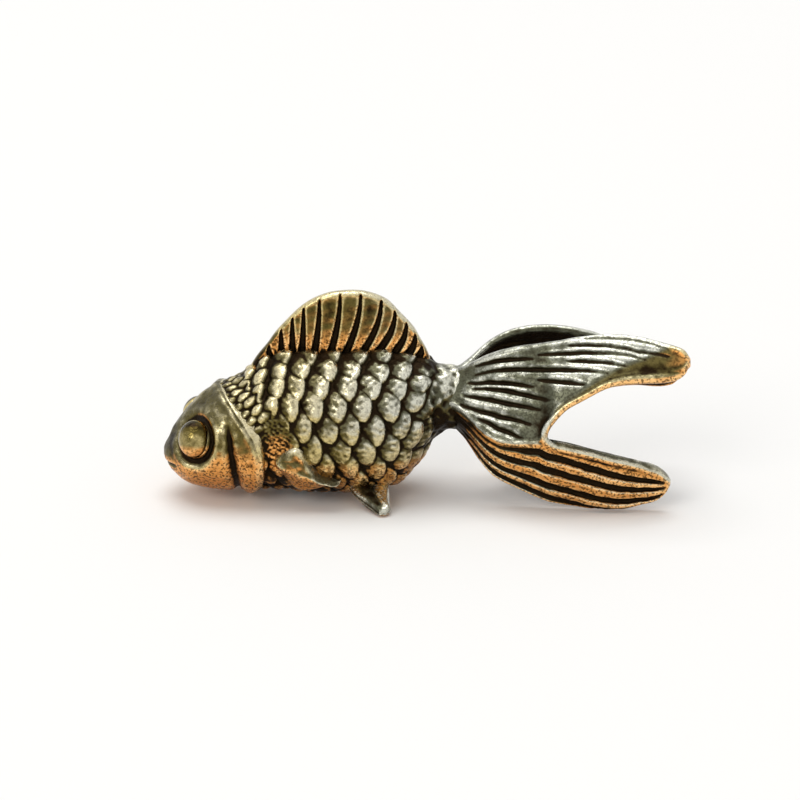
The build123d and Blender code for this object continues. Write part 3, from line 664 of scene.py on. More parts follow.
# %% Rolled rear rim of the gill cover
RIM_ROLL = np.array([0.32, 0, 0])
middle = trunk_skin(edge, turn)[0]
inward = middle - skin_points[-1]
rim = []
for roll in np.linspace(0.15, 1, 9):
    bend = roll * math.pi / 2
    rim.append(skin_points[-1] + inward * (1 - math.cos(bend)) + RIM_ROLL * math.sin(bend))
tuck = rim[-1] + (middle.mean(0) - rim[-1]) * 0.18
head_points = np.concatenate([skin_points, np.array(rim), tuck[None]])
head_points[..., 2] = np.maximum(head_points[..., 2], 0.0)
head = net("head_skin", head_points)


def head_darkening(place, normal):
    """Dark in the moats of the eyes, on the snout before them and in the cheek grooves."""
    x, y, z = place.T
    ring, near_eye = from_moat(on_left(place))
    snout = step(-21.6, -22.4, x) * step(3.6, 4.6, z)
    groove = hump(from_cheek_groove(x, z), 0, 0.30) * step(8.4, 5.8, z)
    return 0.35 * hump(ring, MOAT_RADIUS, 0.28) * near_eye + 0.15 * snout + 0.35 * groove


dress(head, "head", head_darkening)


# %% [markdown]
# ## Eyes
# Each eye is a polished bead in its moat. A ball would do, but a lathe profile turned about the direction of
# gaze gives a true dome, slightly oval, with a foot that sinks into the head.

# %% Two beads
def bead(name, mirror):
    """Dome with a short foot; mirror is -1 for the right eye."""
    side = np.array([1, mirror, 1])
    axis = gaze * side
    ball = (EYE_RADIUS ** 2 + EYE_DOME ** 2) / (2 * EYE_DOME)
    fall = np.linspace(0.02, math.acos((ball - EYE_DOME) / ball), 60)
    radius = np.append(ball * np.sin(fall), [EYE_RADIUS * 0.97, EYE_RADIUS * 0.8])
    height = np.append(EYE_DOME - ball + ball * np.cos(fall), [-0.25, -0.9])
    angle = full_turn(120)[:, None]
    ring = np.cos(angle) * eye_across * EYE_OVAL[0] + np.sin(angle) * eye_upright * EYE_OVAL[1]
    points = (eye_seat + radius[:, None, None] * ring[None] + height[:, None, None] * gaze) * side
    points = points + uneven(points, 0.8, 8)[..., None] * 0.015 * axis
    return net(name, points)


def eye_shade_and_darkening(place, normal):
    """Darker towards the rim of the bead, with painted shade on its top."""
    off = on_left(place) - eye_seat
    radius = np.linalg.norm(off - (off @ gaze)[:, None] * gaze, axis=1)
    return 0.30 * step(0.60, 0.98, radius / EYE_RADIUS) + 0.26 * step(0.35, 0.75, normal[:, 2])


def eye_warm(place, normal):
    """Less of the painted table reflection, so less orange below than the head has."""
    return np.full(len(place), -0.07)


def golden(place, normal):
    """More golden all over."""
    return np.full(len(place), 0.4)


for node, mirror in (("left_eye", 1), ("right_eye", -1)):
    dress(bead(node + "_bead", mirror), node, eye_shade_and_darkening, eye_warm, golden, "polished_brass", polished_brass)


# %% [markdown]
# ## Dorsal fin
# The fin is a thin arched blade with twelve dark grooves that lean back and a bright rim. Grooves could be
# cut out of a flat plate with booleans, but their soft edges come easier from a net: the blade is a stack of
# narrow sections from front to rear, each going up one side, over the rim and down the other side.

# %% Dorsal blade
CREST = np.array([
    (-15.35, 12.0), (-14.7, 13.0), (-13.92, 13.96), (-13.2, 15.0), (-12.5, 15.8), (-11.45, 16.9),
    (-10.5, 17.7), (-9.25, 18.37), (-8.2, 18.7), (-6.87, 18.84), (-5.9, 18.84), (-4.6, 18.56),
    (-3.35, 17.95), (-2.4, 16.96), (-1.6, 16.1), (-0.97, 15.3), (-0.44, 14.3), (0.0, 13.5), (0.35, 12.6),
]) - (0, 0.15)
GROOVE_ROOTS = np.array([-13.4, -12.6, -11.7, -11.0, -10.0, -8.7, -7.5, -6.2, -5.0, -3.6, -2.5, -1.6])
GROOVE_TIPS = np.array([-13.8, -12.7, -11.7, -10.7, -9.3, -7.5, -5.7, -3.9, -2.7, -1.7, -0.9, -0.3])
FOOT_START, FOOT_SINK = -14.9, 0.7
BLADE_HALF, BLADE_TAPER, GROOVE_DEPTH = 0.72, 0.22, 0.34
run = run_along(CREST)
u = np.linspace(0.001, 0.999, 240) * run[-1]
v = np.linspace(0, 1, 70)
top = np.stack([flow(run, CREST[:, 0], u), flow(run, CREST[:, 1], u)], -1)
foot_x = FOOT_START * (1 - u / run[-1])
foot = np.stack([foot_x, back_height(foot_x) - FOOT_SINK], -1)
blade = foot[:, None] * (1 - v)[None, :, None] + top[:, None] * v[None, :, None]
rise = 1 - (1 - v) ** 2
lines = GROOVE_ROOTS[:, None] * (1 - rise) + GROOVE_TIPS[:, None] * rise
aside = np.abs(blade[:, :, 0][None] - lines[:, None, :]).min(0)
reach = 0.31 * (1 - v) ** 0.8 + 0.08
height_left = np.hypot(*(top - foot).T)[:, None] * (1 - v)[None]
rimmed = step(0.06, 0.34, height_left)
half = BLADE_HALF - BLADE_TAPER * v[None] - GROOVE_DEPTH * step(1.25, 0.45, aside / reach[None]) * rimmed
half = half + 0.03 * hump(height_left, 0.22, 0.15)
half = half * rounded(((0.32 - height_left) / 0.34).clip(0, 1), 2)
flat = np.stack([blade[..., 0], 0 * blade[..., 0], blade[..., 1]], -1)
half = half + 0.012 * uneven(flat, 0.5, 9)
near_side = flat - np.maximum(half, 0.01)[..., None] * (0, 1, 0)
far_side = flat + np.maximum(half, 0.01)[..., None] * (0, 1, 0)
dorsal = net("dorsal_blade", np.concatenate([near_side, far_side[:, ::-1]], 1))


# %% Dorsal tones
def dorsal_darkening(place, normal):
    """Dark where the blade meets the back and along the front of the rim."""
    back = back_height(place[:, 0])
    crest = trace(CREST, place[:, 0])
    rim = step(0.55, 0.15, crest - place[:, 2]) * step(-3.0, -9.0, place[:, 0])
    return 0.17 + 0.23 * rim + 0.5 * step(0.85, 0.35, place[:, 2] - back)


def dorsal_warm(place, normal):
    """Orange near the foot, olive towards the rim."""
    return 0.16 * step(15.6, 13.2, place[:, 2]) - 0.03 * step(15.0, 18.0, place[:, 2])


dress(dorsal, "dorsal_fin", dorsal_darkening, dorsal_warm, golden)


# %% [markdown]
# ## Small fins
# The pectoral fin is a thick folded leaf lying on the flank. The pelvic fin is a leaf with a bright ridge,
# whose tip touches the table. A bent plane of even thickness would look like sheet metal, so both are nets
# from root to tip and round the leaf, roofed along a ridge, with rays as shallow waves.

# %% Leaf fins
def leaf(name, origin, along, across, mirror, upper, lower, thick, ridge, rays):
    """Closed leaf: edges as tables of along and across, ridge as a function of along, rays as a count."""
    out = np.cross(along, across)
    s = np.linspace(0.004, 0.996, 110)
    at = s * upper[-1][0]
    top, low = trace(upper, at), trace(lower, at)
    w = np.linspace(0, 1, 60)
    y = top[:, None] * (1 - w) + low[:, None] * w
    taper = rounded(2 * s - 1, 8)[:, None]
    round_edge = rounded(2 * w - 1, 6)[None]
    fold = np.clip((top - ridge(at)) / (top - low), 0.15, 0.85)[:, None]
    tent = np.where(w < fold, w / fold, (1 - w) / (1 - fold))
    roof = 1.05 - np.sqrt((1 - tent) ** 2 + 0.01)
    wave = np.abs(2 * ((w * rays) % 1) - 1)[None] ** 4 * (1 - tent)
    rim = hump(w, 0.08, 0.09)[None] * step(0.15, 0.35, s)[:, None]
    face = round_edge * taper * (thick * (0.25 + 0.75 * roof) - 0.10 * wave + 0.16 * rim)
    back = -0.45 * thick * round_edge * taper
    flat = origin + at[:, None, None] * along + y[..., None] * across
    front = flat + face[..., None] * out
    rear = flat + (back + 0 * y)[..., None] * out
    points = np.concatenate([front, rear[:, ::-1]], 1)
    points = points + uneven(points, 0.5, 10)[..., None] * 0.03 * out
    points = points * (1, mirror, 1)
    points[..., 2] = np.maximum(points[..., 2], 0.0)
    return net(name, points)


def square_to(vector, other):
    """Unit vector made square to another unit vector."""
    return unit(vector - other * (vector @ other))


# %% Pectoral fins
PECTORAL_UPPER = [
    (0.0, 0.0), (0.7, 0.95), (1.4, 1.60), (2.0, 1.43), (2.6, 0.80),
    (3.3, 0.15), (4.1, -0.42), (5.0, -0.50), (6.1, -0.47),
]
PECTORAL_LOWER = [
    (0.0, -1.0), (1.0, -1.7), (2.3, -2.75), (3.5, -2.75), (4.5, -1.9), (5.3, -1.15), (6.1, -0.70),
]
PECTORAL_THICK, PECTORAL_RAYS = 1.15, 3
PECTORAL_SINK = 0.1
droop = math.radians(17)
pectoral_turn = math.acos((4.7 - 6.5) / 5.9)
pectoral_root = trunk_skin(np.array([[-13.1]]), np.array([[pectoral_turn]]))[0, 0]
pectoral_out = unit(np.array([-0.12, -0.93, -0.33]))
pectoral_along = square_to(np.array([math.cos(droop), 0, -math.sin(droop)]), pectoral_out)
pectoral_across = np.cross(pectoral_out, pectoral_along)


def pectoral_ridge(a):
    return -0.35 - 0.06 * a


origin = pectoral_root - PECTORAL_SINK * pectoral_out
for side, mirror in (("left", 1), ("right", -1)):
    fin = leaf(side + "_pectoral_leaf", origin, pectoral_along, pectoral_across, mirror,
               PECTORAL_UPPER, PECTORAL_LOWER, PECTORAL_THICK, pectoral_ridge, PECTORAL_RAYS)
    dress(fin, side + "_pectoral_fin")

# %% Pelvic fins
PELVIC_THICK, PELVIC_RAYS = 1.2, 4
PELVIC_UPPER = [(0.0, 1.62), (1.6, 1.64), (2.8, 1.66), (3.6, 1.62), (4.1, 1.2)]
PELVIC_LOWER = [(0.0, -2.1), (1.2, -1.55), (2.5, -0.6), (3.4, 0.15), (4.1, 0.75)]
droop, sweep = math.radians(19), math.radians(2)
flatly = math.cos(droop)
pelvic_along = unit(np.array([math.sin(sweep), -math.cos(sweep) * flatly, -math.sin(droop)]))
pelvic_across = square_to(np.array([math.cos(sweep), math.sin(sweep) * flatly, 0]), pelvic_along)
pelvic_root = np.array([-4.92, -2.3, 1.45])


def pelvic_ridge(a):
    """Where the ridge lies across the fin, at a distance along it."""
    return 0.38 * trace(PELVIC_LOWER, a) + 0.62 * trace(PELVIC_UPPER, a)


def pelvic_shade_and_highlight(place, normal):
    """Painted shade before the ridge, and a painted highlight on the ridge and behind it."""
    off = on_left(place) - pelvic_root
    past = off @ pelvic_across - pelvic_ridge(off @ pelvic_along)
    return 0.20 * step(-0.20, -0.50, past) * step(-1.6, -1.1, past) - 0.45 * step(-0.30, 0.0, past)


def pelvic_warm(place, normal):
    """Upper faces get less of the painted table reflection, so the top of the fin is silver."""
    return -0.5 * step(-0.8, -0.3, normal[:, 2])


front_edge = [(a, -b) for a, b in PELVIC_LOWER]
rear_edge = [(a, -b) for a, b in PELVIC_UPPER]
for side, mirror in (("left", 1), ("right", -1)):
    fin = leaf(side + "_pelvic_leaf", pelvic_root, pelvic_along, -pelvic_across, mirror,
               front_edge, rear_edge, PELVIC_THICK, lambda a: -pelvic_ridge(a), PELVIC_RAYS)
    dress(fin, side + "_pelvic_fin", pelvic_shade_and_highlight, pelvic_warm)

# %% [markdown]
# ## Fantail
# The tail is two ribbed half sheets that grow out of the stem, each split into an upper and a lower lobe with
# a rounded notch between. Each half is spanned between edge lines: the top edge, the fold that turns into the
# trailing edge behind the notch, the ridge and the bottom edge. The upper sheet is marked with single chased
# strokes, the lower one with long flutes. One net can't fork into two lobes, so two slabs and a rolled rim
# are melted into one skin with a voxel remesh.

# %% Edge lines of the two half tails
# Each point: share along the tail, distance from the middle of the fish, height
LEFT_TAIL = {
    "top": [
        (-0.1, 0.1, 11.5), (0.0, 0.1, 11.65), (0.118, 1.5, 13.2), (0.25, 2.2, 14.3), (0.377, 2.2, 14.76),
        (0.52, 2.2, 15.3), (0.68, 2.6, 15.7), (0.82, 3.2, 15.45), (0.93, 4.0, 15.0), (0.97, 4.3, 14.6),
        (0.992, 4.5, 14.0),
    ],
    "fold": [
        (-0.1, 2.2, 8.8), (0.0, 2.42, 8.75), (0.118, 4.2, 6.95), (0.25, 5.31, 6.4), (0.32, 5.75, 6.55),
        (0.355, 5.95, 6.85), (0.375, 6.0, 7.5), (0.40, 5.95, 8.7), (0.457, 5.8, 9.95), (0.546, 5.65, 11.0),
        (0.634, 5.55, 11.9), (0.737, 5.5, 12.35), (0.857, 5.4, 12.4), (0.93, 5.2, 12.6), (0.97, 5.0, 12.95),
        (0.992, 4.8, 13.4),
    ],
    "rim": [
        (0.975, 4.85, 13.2), (0.94, 5.1, 12.75), (0.857, 5.4, 12.5), (0.737, 5.5, 12.4), (0.634, 5.55, 11.95),
        (0.546, 5.65, 11.0), (0.457, 5.8, 9.95), (0.40, 5.95, 8.7), (0.374, 6.0, 7.75), (0.374, 6.0, 7.1),
        (0.397, 6.0, 6.6), (0.45, 6.0, 6.2), (0.56, 6.0, 5.65), (0.68, 5.9, 4.95), (0.782, 5.7, 4.35),
        (0.86, 5.4, 3.5),
    ],
    "ridge": [
        (-0.1, 2.2, 8.8), (0.0, 2.42, 8.75), (0.118, 4.2, 6.95), (0.25, 5.31, 6.4), (0.377, 6.0, 6.7),
        (0.52, 6.0, 6.16), (0.68, 5.88, 5.25), (0.82, 5.58, 4.38), (0.89, 5.28, 3.52), (0.92, 5.16, 2.77),
    ],
    "bottom": [
        (-0.1, 0.1, 6.05), (0.0, 0.1, 5.9), (0.118, 2.76, 3.27), (0.25, 3.6, 1.56), (0.377, 4.2, 0.54),
        (0.52, 4.5, 0.0), (0.68, 4.92, -0.2), (0.82, 4.8, 0.43), (0.89, 4.92, 1.31), (0.92, 5.04, 2.2),
    ],
}
RIGHT_TAIL = {
    "top": [
        (-0.1, 0.1, 11.5), (0.0, 0.1, 11.65), (0.118, 1.62, 13.3), (0.25, 2.28, 14.65), (0.343, 2.4, 14.95),
        (0.52, 2.28, 14.75), (0.68, 2.4, 13.7), (0.80, 2.88, 12.5), (0.92, 3.48, 10.9), (0.975, 3.96, 9.87),
    ],
    "fold": [
        (-0.1, 2.2, 8.8), (0.0, 2.42, 8.75), (0.118, 3.78, 7.19), (0.25, 4.62, 6.0), (0.30, 4.8, 5.6),
        (0.335, 4.95, 5.6), (0.36, 4.9, 6.0), (0.40, 4.85, 6.6), (0.52, 4.62, 7.6), (0.68, 4.62, 8.5),
        (0.80, 4.5, 8.8), (0.92, 4.38, 8.85), (0.975, 4.2, 9.3),
    ],
    "rim": [
        (0.96, 4.2, 9.35), (0.92, 4.35, 9.1), (0.80, 4.5, 9.0), (0.68, 4.6, 8.75), (0.52, 4.6, 7.85),
        (0.40, 4.8, 6.85), (0.35, 4.85, 6.0), (0.33, 4.8, 5.3), (0.338, 4.6, 4.5), (0.38, 4.2, 3.5),
        (0.485, 3.6, 2.4), (0.63, 3.18, 1.6), (0.73, 3.0, 1.2),
    ],
    "ridge": [
        (-0.1, 2.2, 8.8), (0.0, 2.42, 8.75), (0.118, 3.78, 7.19), (0.25, 4.62, 6.0), (0.343, 4.6, 4.2),
        (0.485, 3.6, 2.6), (0.63, 3.18, 1.8), (0.73, 3.0, 1.4), (0.785, 2.82, 0.95),
    ],
    "bottom": [
        (-0.1, 0.1, 6.05), (0.0, 0.1, 5.9), (0.118, 2.22, 3.79), (0.25, 2.88, 1.8), (0.343, 3.0, 0.6),
        (0.485, 2.58, 0.05), (0.63, 2.52, -0.15), (0.73, 2.52, 0.05), (0.785, 2.64, 0.4),
    ],
}
TAIL_JOINT_X, TAIL_LENGTH = 2.6, 20.4
TAIL_THICK = 1.0
print("tail from x =", TAIL_JOINT_X, "to", round(TAIL_JOINT_X + TAIL_LENGTH, 2), "mm")

# %% Strokes and flutes
# Each stroke: points of share along the tail and distance from the top edge
STROKES = [
    [(0.08, 0.62), (0.327, 1.39)], [(0.08, 1.40), (0.366, 2.47), (0.64, 3.80)],
    [(0.351, 1.11), (0.622, 1.90), (0.80, 2.17)], [(0.477, 0.78), (0.588, 1.10), (0.771, 1.57), (0.90, 1.21)],
    [(0.534, 0.33), (0.66, 0.49), (0.844, 0.50), (0.90, 0.56)], [(0.468, 2.18), (0.72, 3.12)],
    [(0.046, 1.91), (0.327, 3.83)], [(0.345, 3.27), (0.545, 4.60)],
    [(0.072, 2.56), (0.255, 4.09), (0.40, 5.33)], [(0.029, 2.84), (0.217, 4.86), (0.357, 5.93)],
    [(0.02, 3.65), (0.182, 5.80), (0.315, 7.05)], [(0.093, 5.30), (0.182, 6.85), (0.285, 8.21)],
]
# Each flute: share across the lower sheet at the stem, and its drift per length of the tail
FLUTES = [(0.08, 0.34), (0.31, 0.33), (0.58, 0.30), (0.80, 0.26)]


def chased(shares, down, across):
    """Depth share of the chased strokes on the upper sheet."""
    along = np.broadcast_to((shares * TAIL_LENGTH)[:, None], down.shape)
    deep = np.zeros(down.shape)
    for stroke in STROKES:
        marks = np.array(stroke) * (TAIL_LENGTH, 1)
        runs = run_along(marks)
        for (x0, d0), (x1, d1), begun in zip(marks, marks[1:], runs):
            dx, dd = x1 - x0, d1 - d0
            t = np.clip(((along - x0) * dx + (down - d0) * dd) / (dx ** 2 + dd ** 2), 0, 1)
            far = np.hypot(along - x0 - t * dx, down - d0 - t * dd)
            swell = np.abs(np.sin(math.pi * (begun + t * math.hypot(dx, dd)) / runs[-1])) ** 0.6
            deep = np.maximum(deep, hump(far, 0, 0.09 + 0.11 * swell) * (0.25 + 0.75 * swell))
    return deep * (1 - 0.45 * step(0.45, 0.75, shares))[:, None]


def fluted(shares, down, across):
    """Depth share of the long flutes on the lower sheet."""
    place = np.stack(np.broadcast_arrays(shares[:, None] * TAIL_LENGTH, down, 0), -1)
    across = across + 0.007 * uneven(place, 0.7, 22)
    deep = sum(step(0.070, 0.032, np.abs(across - root - drift * shares[:, None])) for root, drift in FLUTES)
    end = shares[-1]
    return deep * (step(0.0, 0.10, shares) * step(end - 0.01, end - 0.07, shares))[:, None]


# %% Slab between two edge lines
WEB_OVERLAP, WEB_END = 0.35, (0.39, 0.34)
MARK_DEPTH, MARK_DEPTH_BEHIND = 0.36, 0.2


def slab(above, below, shares, marks, spill, side):
    """Rings of a marked slab; spill runs past the upper (-1) or the lower (1) edge at the web."""
    first, last = (np.stack([trace(line, shares, k) for k in (1, 2)], -1) for line in (above, below))
    leg = (last - first) / np.maximum(np.linalg.norm(last - first, axis=1), 1e-6)[:, None]
    web = WEB_OVERLAP * step(*WEB_END, shares)[:, None]
    start = first - leg * web * (spill < 0)
    leg = last + leg * web * (spill > 0) - start
    size = np.maximum(np.linalg.norm(leg, axis=1), 1e-6)[:, None]
    inward = np.stack([leg[:, 1], -leg[:, 0]], -1) / size
    w = np.linspace(0, 1, 170)
    deep = marks(shares, w[None] * size, w[None]) * step(0.0, 0.05, w)[None] * step(1.0, 0.95, w)[None]
    tip = rounded(((shares - shares[-1] + 0.03) / 0.0301).clip(0, 1), 2, 0.02)[:, None]
    thick = TAIL_THICK * tip * np.minimum(1, size / 1.4) * rounded(2 * w[None] - 1, 10)
    line = start[:, None] + leg[:, None] * w[None, :, None]
    arch = (0.2 + 0.5 * step(0.16, 0.0, shares)[:, None]) * np.sin(math.pi * w)[None]
    arch = arch * np.minimum(1, size / 5)
    rim = 0.10 * hump((1 - w)[None] * size, 0.4, 0.3) + 0.08 * hump(w[None] * size, 0.35, 0.3)
    middle = 0.5 * TAIL_THICK - arch + 0.4 * step(0.0, -0.08, shares)[:, None]
    front = line + inward[:, None] * (middle - 0.5 * thick - rim * tip + MARK_DEPTH * deep)[..., None]
    lip = 0.14 * hump(w[None] * size, 0.3, 0.25)
    behind = middle + 0.5 * thick + lip * tip - MARK_DEPTH_BEHIND * deep
    rear = line + inward[:, None] * behind[..., None]
    loop = np.concatenate([front, rear[:, ::-1]], 1)
    x = TAIL_JOINT_X + shares * TAIL_LENGTH
    return np.stack([x[:, None] + 0 * loop[..., 0], side * loop[..., 0], np.maximum(loop[..., 1], 0)], -1)


# %% [markdown]
# A rolled rim runs along the trailing edge, round the notch and along the top of the lower lobe, in one line.
# It is a tube that is melted into the slabs, and it is what makes the notch round.

# %% Rolled rim
RIM_SHIFT = (0, 0.22, 0.08)
RIM_RADIUS, RIM_SWELL = 0.34, 0.12


def rolled_rim(points, side):
    """Rings of a tube along the rim, thickest near the upper tip."""
    points = (np.array(points) - RIM_SHIFT) * (TAIL_LENGTH, side, 1) + (TAIL_JOINT_X, 0, 0)
    runs = run_along(points)
    at = np.linspace(0, runs[-1], 220)
    path = np.stack([flow(runs, points[:, k], at) for k in range(3)], -1)
    ahead = unit(np.gradient(path, axis=0))
    sideways = unit(np.array([0, 1, 0]) - ahead * ahead[:, 1:2])
    upright = np.cross(ahead, sideways)
    share = at / runs[-1]
    radius = (RIM_RADIUS + RIM_SWELL * step(0.35, 0.1, share)) * rounded(2 * share - 1, 20, 0.02)
    angle = full_turn(24)[None, :, None]
    ring = np.cos(angle) * sideways[:, None] + np.sin(angle) * upright[:, None]
    return path[:, None] + radius[:, None, None] * ring


# %% Melt the slabs into one skin
VOXEL = 0.092
SLAB_START = -0.09


def melted(name, slabs):
    """Join closed slabs with a voxel remesh, worked in millimetres, and relax the skin."""
    parts = [net(name + "_slab", rings) for rings in slabs]
    joined = bmesh.new()
    for part in parts:
        joined.from_mesh(part.data)
        mesh = part.data
        bpy.data.objects.remove(part)
        bpy.data.meshes.remove(mesh)
    bmesh.ops.scale(joined, vec=(1 / MM,) * 3, verts=joined.verts)
    wax = bpy.data.meshes.new(name)
    joined.to_mesh(wax)
    joined.free()
    piece = bpy.data.objects.new(name, wax)
    bpy.context.scene.collection.objects.link(piece)
    remesh = piece.modifiers.new("melt", "REMESH")
    remesh.mode = "VOXEL"
    remesh.voxel_size = VOXEL
    relax = piece.modifiers.new("relax", "SMOOTH")
    relax.factor = 0.5
    relax.iterations = 2
    skin = bpy.data.meshes.new_from_object(piece.evaluated_get(bpy.context.evaluated_depsgraph_get()))
    piece.modifiers.clear()
    piece.data = skin
    bpy.data.meshes.remove(wax)
    points = np.empty(len(skin.vertices) * 3)
    skin.vertices.foreach_get("co", points)
    points = points.reshape(-1, 3)
    points = points + uneven(points, 0.6, 21)[:, None] * 0.012
    points[:, 2] = np.maximum(points[:, 2], 0)
    skin.vertices.foreach_set("co", (points * MM).ravel())
    skin.shade_smooth()
    skin.update()
    print(name, len(skin.polygons), "faces after melting")
    return piece


def half_tail(name, lines, side):
    """One half of the tail; side is -1 on the left."""
    upper = np.linspace(SLAB_START, lines["top"][-1][0], 240)
    lower = np.linspace(SLAB_START, lines["ridge"][-1][0], 220)
    slabs = [
        slab(lines["top"], lines["fold"], upper, chased, 1, side),
        slab(lines["ridge"], lines["bottom"], lower, fluted, -1, side),
        rolled_rim(lines["rim"], side),
    ]
    return melted(name, slabs)


# %% Tail tones
# Width of the gold rim under the upper lobe, at places along the fish
LIP_REACH = [(10.0, 0.30), (13.6, 0.45), (16.8, 0.95), (19.9, 1.9), (21.5, 2.7), (23.0, 4.0)]


def tail_tones(lines, side):
    """Shade and darkening, warmth and gold: painted shade on the faces turned to the other half, dark flutes,
    lower sheet orange, upper silver, its lip gold.
    """

    def spot(place):
        """Place along the fish, height, share along the tail, height above the fold and past the gold lip."""
        x, y, z = place.T
        share = (x - TAIL_JOINT_X) / TAIL_LENGTH
        above = z - trace(lines["fold"], share, 2)
        return x, z, share, above, above - trace(LIP_REACH, x)

    def on_lip(place):
        x, z, share, above, past_lip = spot(place)
        return step(0.25, -0.25, past_lip) * step(-1.4, -1.0, above) * step(0.38, 0.46, share)

    def on_shelf(place, normal):
        """Top of the lower lobe."""
        return step(0.3, 0.7, normal[:, 2]) * step(9.0, 12.0, place[:, 0]) * step(7.2, 6.6, place[:, 2])

    def gold_tint_and_reflection(place, normal):
        return 0.50 * on_lip(place)

    def shade_and_darkening(place, normal):
        x, z, share, above, past_lip = spot(place)
        # Painted shade on the faces that turn in towards the other half of the tail.
        inner_face_shade = step(0.1, 0.6, -side * normal[:, 1]) * step(0.95, 0.6, np.abs(normal[:, 2]))
        root = step(6.0, 2.8, x) * step(8.6, 7.0, z)
        upper_root_darkening = step(14.0, 9.0, x) * step(7.0, 8.5, z) * step(4.0, 7.0, x)
        top = trace(lines["ridge"], share, 2)
        low = trace(lines["bottom"], share, 2)
        across = (top - z) / np.maximum(top - low, 0.3)
        flutes = sum(step(0.055, 0.028, np.abs(across - at - drift * share)) for at, drift in FLUTES)
        flutes = flutes * step(0.05, 0.12, share) * step(0.90, 0.85, share) * (across > 0)
        lighter_toward_tip = step(10.0, 16.0, x) * step(0, 0.4, past_lip) * (1 - inner_face_shade)
        lip = step(0.25, -0.25, past_lip) * step(-1.2, -0.8, above) * step(0.42, 0.5, share)
        shelf = on_shelf(place, normal)
        lower = step(-0.2, -0.5, z - top) * (1 - inner_face_shade)
        dark = 0.42 * inner_face_shade + 0.10 * lip + 0.40 * root + 0.10 * upper_root_darkening + 0.10 * shelf + 0.10 * lower
        return dark + 0.30 * flutes * (1 - inner_face_shade) - 0.22 * lighter_toward_tip

    def warm(place, normal):
        # These shift the painted table reflection: lip, shelf and lower sheet more orange, the upper sheet
        # silver.
        x, z, share, above, past_lip = spot(place)
        lip = on_lip(place) * (1 + 0.35 * step(19.0, 22.0, x))
        lower = step(-0.2, -0.5, z - trace(lines["ridge"], share, 2))
        upper = step(-0.1, 0.25, past_lip)
        return 0.17 * lip + 0.11 * lower - 0.30 * upper + 0.28 * on_shelf(place, normal)

    return shade_and_darkening, warm, gold_tint_and_reflection


dress(half_tail("left_tail_skin", LEFT_TAIL, -1), "left_tail_fin", *tail_tones(LEFT_TAIL, -1))
dress(half_tail("right_tail_skin", RIGHT_TAIL, 1), "right_tail_fin", *tail_tones(RIGHT_TAIL, 1))

# %% [markdown]
# ## Floor and light
# A pale floor keeps the soft shadow under the fish. Two large soft lamps, above and in front, give the pale
# sheen on the back. A picture of a room could light it too, but the world is plain white to the camera and to
# reflections, as a studio tent is, because polished brass shows mostly what it mirrors.

# %% Stage
FLOOR_HALF, FLOOR_DROP = 3, 0.0002
corners = [(i * FLOOR_HALF, j * FLOOR_HALF, 0) for i, j in ((-1, -1), (1, -1), (1, 1), (-1, 1))]
floor_mesh = bpy.data.meshes.new("floor")
floor_mesh.from_pydata(corners, [], [(0, 1, 2, 3)])
floor = bpy.data.objects.new("floor", floor_mesh)
floor.location.z = -FLOOR_DROP
bpy.context.scene.collection.objects.link(floor)
pale = bpy.data.materials.new("pale_floor")
pale.use_nodes = True
matte = pale.node_tree.nodes["Principled BSDF"]
matte.inputs["Base Color"].default_value = (0.9, 0.9, 0.9, 1)
matte.inputs["Roughness"].default_value = 0.9
floor_mesh.materials.append(pale)
print("floor", 2 * FLOOR_HALF, "m wide")


# %% Lamps and world
def lamp(name, place, target, size, power, colour):
    """Round soft lamp at a place, turned to a target; metres and watts."""
    data = bpy.data.lights.new(name, "AREA")
    data.shape = "DISK"
    data.size = size
    data.energy = power
    data.color = colour
    light = bpy.data.objects.new(name, data)
    light.location = place
    light.rotation_euler = (Vector(target) - Vector(place)).to_track_quat("-Z", "Y").to_euler()
    bpy.context.scene.collection.objects.link(light)


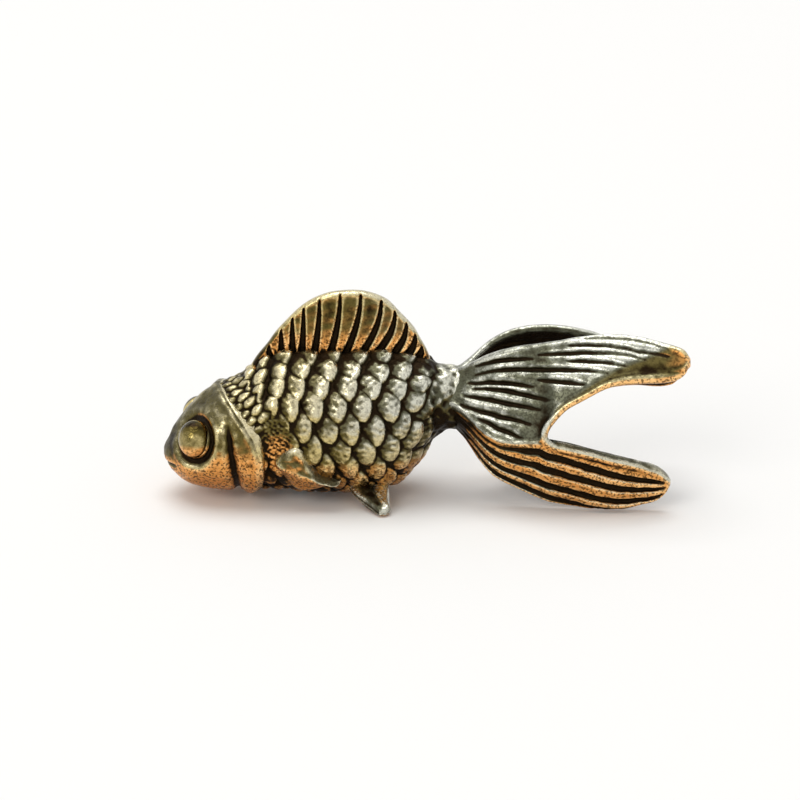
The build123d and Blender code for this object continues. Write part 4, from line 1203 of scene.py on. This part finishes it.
lamp("top_softbox", (-0.2, 0.2, 1.8), (0, 0, 0), 1.6, 21.0, (1.0, 0.99, 0.96))
lamp("front_softbox", (-1.0, -1.6, 1.2), (0, 0, 0.005), 1.2, 13.0, (1.0, 0.97, 0.92))

ROOM_LIGHT, WHITE_TENT = 0.45, 1.0
world = bpy.data.worlds.new("studio_tent")
bpy.context.scene.world = world
world.use_nodes = True
sky = world.node_tree
sky.nodes.clear()
rays = new_node(sky, "ShaderNodeLightPath")
seen = sums(sky, "MAXIMUM", rays.outputs["Is Camera Ray"], rays.outputs["Is Transmission Ray"])
seen = sums(sky, "MAXIMUM", seen, rays.outputs["Is Glossy Ray"])
dim = new_node(sky, "ShaderNodeBackground", [("Color", (1, 1, 1, 1)), ("Strength", ROOM_LIGHT)])
white = new_node(sky, "ShaderNodeBackground", [("Color", (1, 1, 1, 1)), ("Strength", WHITE_TENT)])
pick = new_node(sky, "ShaderNodeMixShader", [("Fac", seen), (1, dim.outputs[0]), (2, white.outputs[0])])
new_node(sky, "ShaderNodeOutputWorld", [("Surface", pick.outputs[0])])
print("lamps:", [light.name for light in bpy.data.lights], "world:", world.name)

# %% [markdown]
# ## Camera
# The photo looks a little down on the left side of the fish. Tilt and aim are set so that the render lies
# over the photo. A far camera with a long lens keeps the perspective flat, and the lens follows from the
# pixels that a millimetre covers in the photo.

# %% Camera
PHOTO_WIDTH, PIXELS_PER_MM = 800, 11.35
DISTANCE, SENSOR = 300, 36
aim = Vector((-2.29, 0, 8.53)) * MM
tilt = math.radians(20)
eye = aim + Vector((0, -math.cos(tilt), math.sin(tilt))) * DISTANCE * MM
camera_data = bpy.data.cameras.new("camera")
camera_data.sensor_width = SENSOR
camera_data.lens = SENSOR * PIXELS_PER_MM * DISTANCE / PHOTO_WIDTH
camera_data.clip_start = 0.01
camera = bpy.data.objects.new("camera", camera_data)
camera.location = eye
camera.rotation_euler = (aim - eye).to_track_quat("-Z", "Y").to_euler()
bpy.context.scene.collection.objects.link(camera)
bpy.context.scene.camera = camera
bpy.context.scene.view_settings.view_transform = "Standard"
print("camera", [round(c, 4) for c in eye], "lens", round(camera_data.lens, 1))
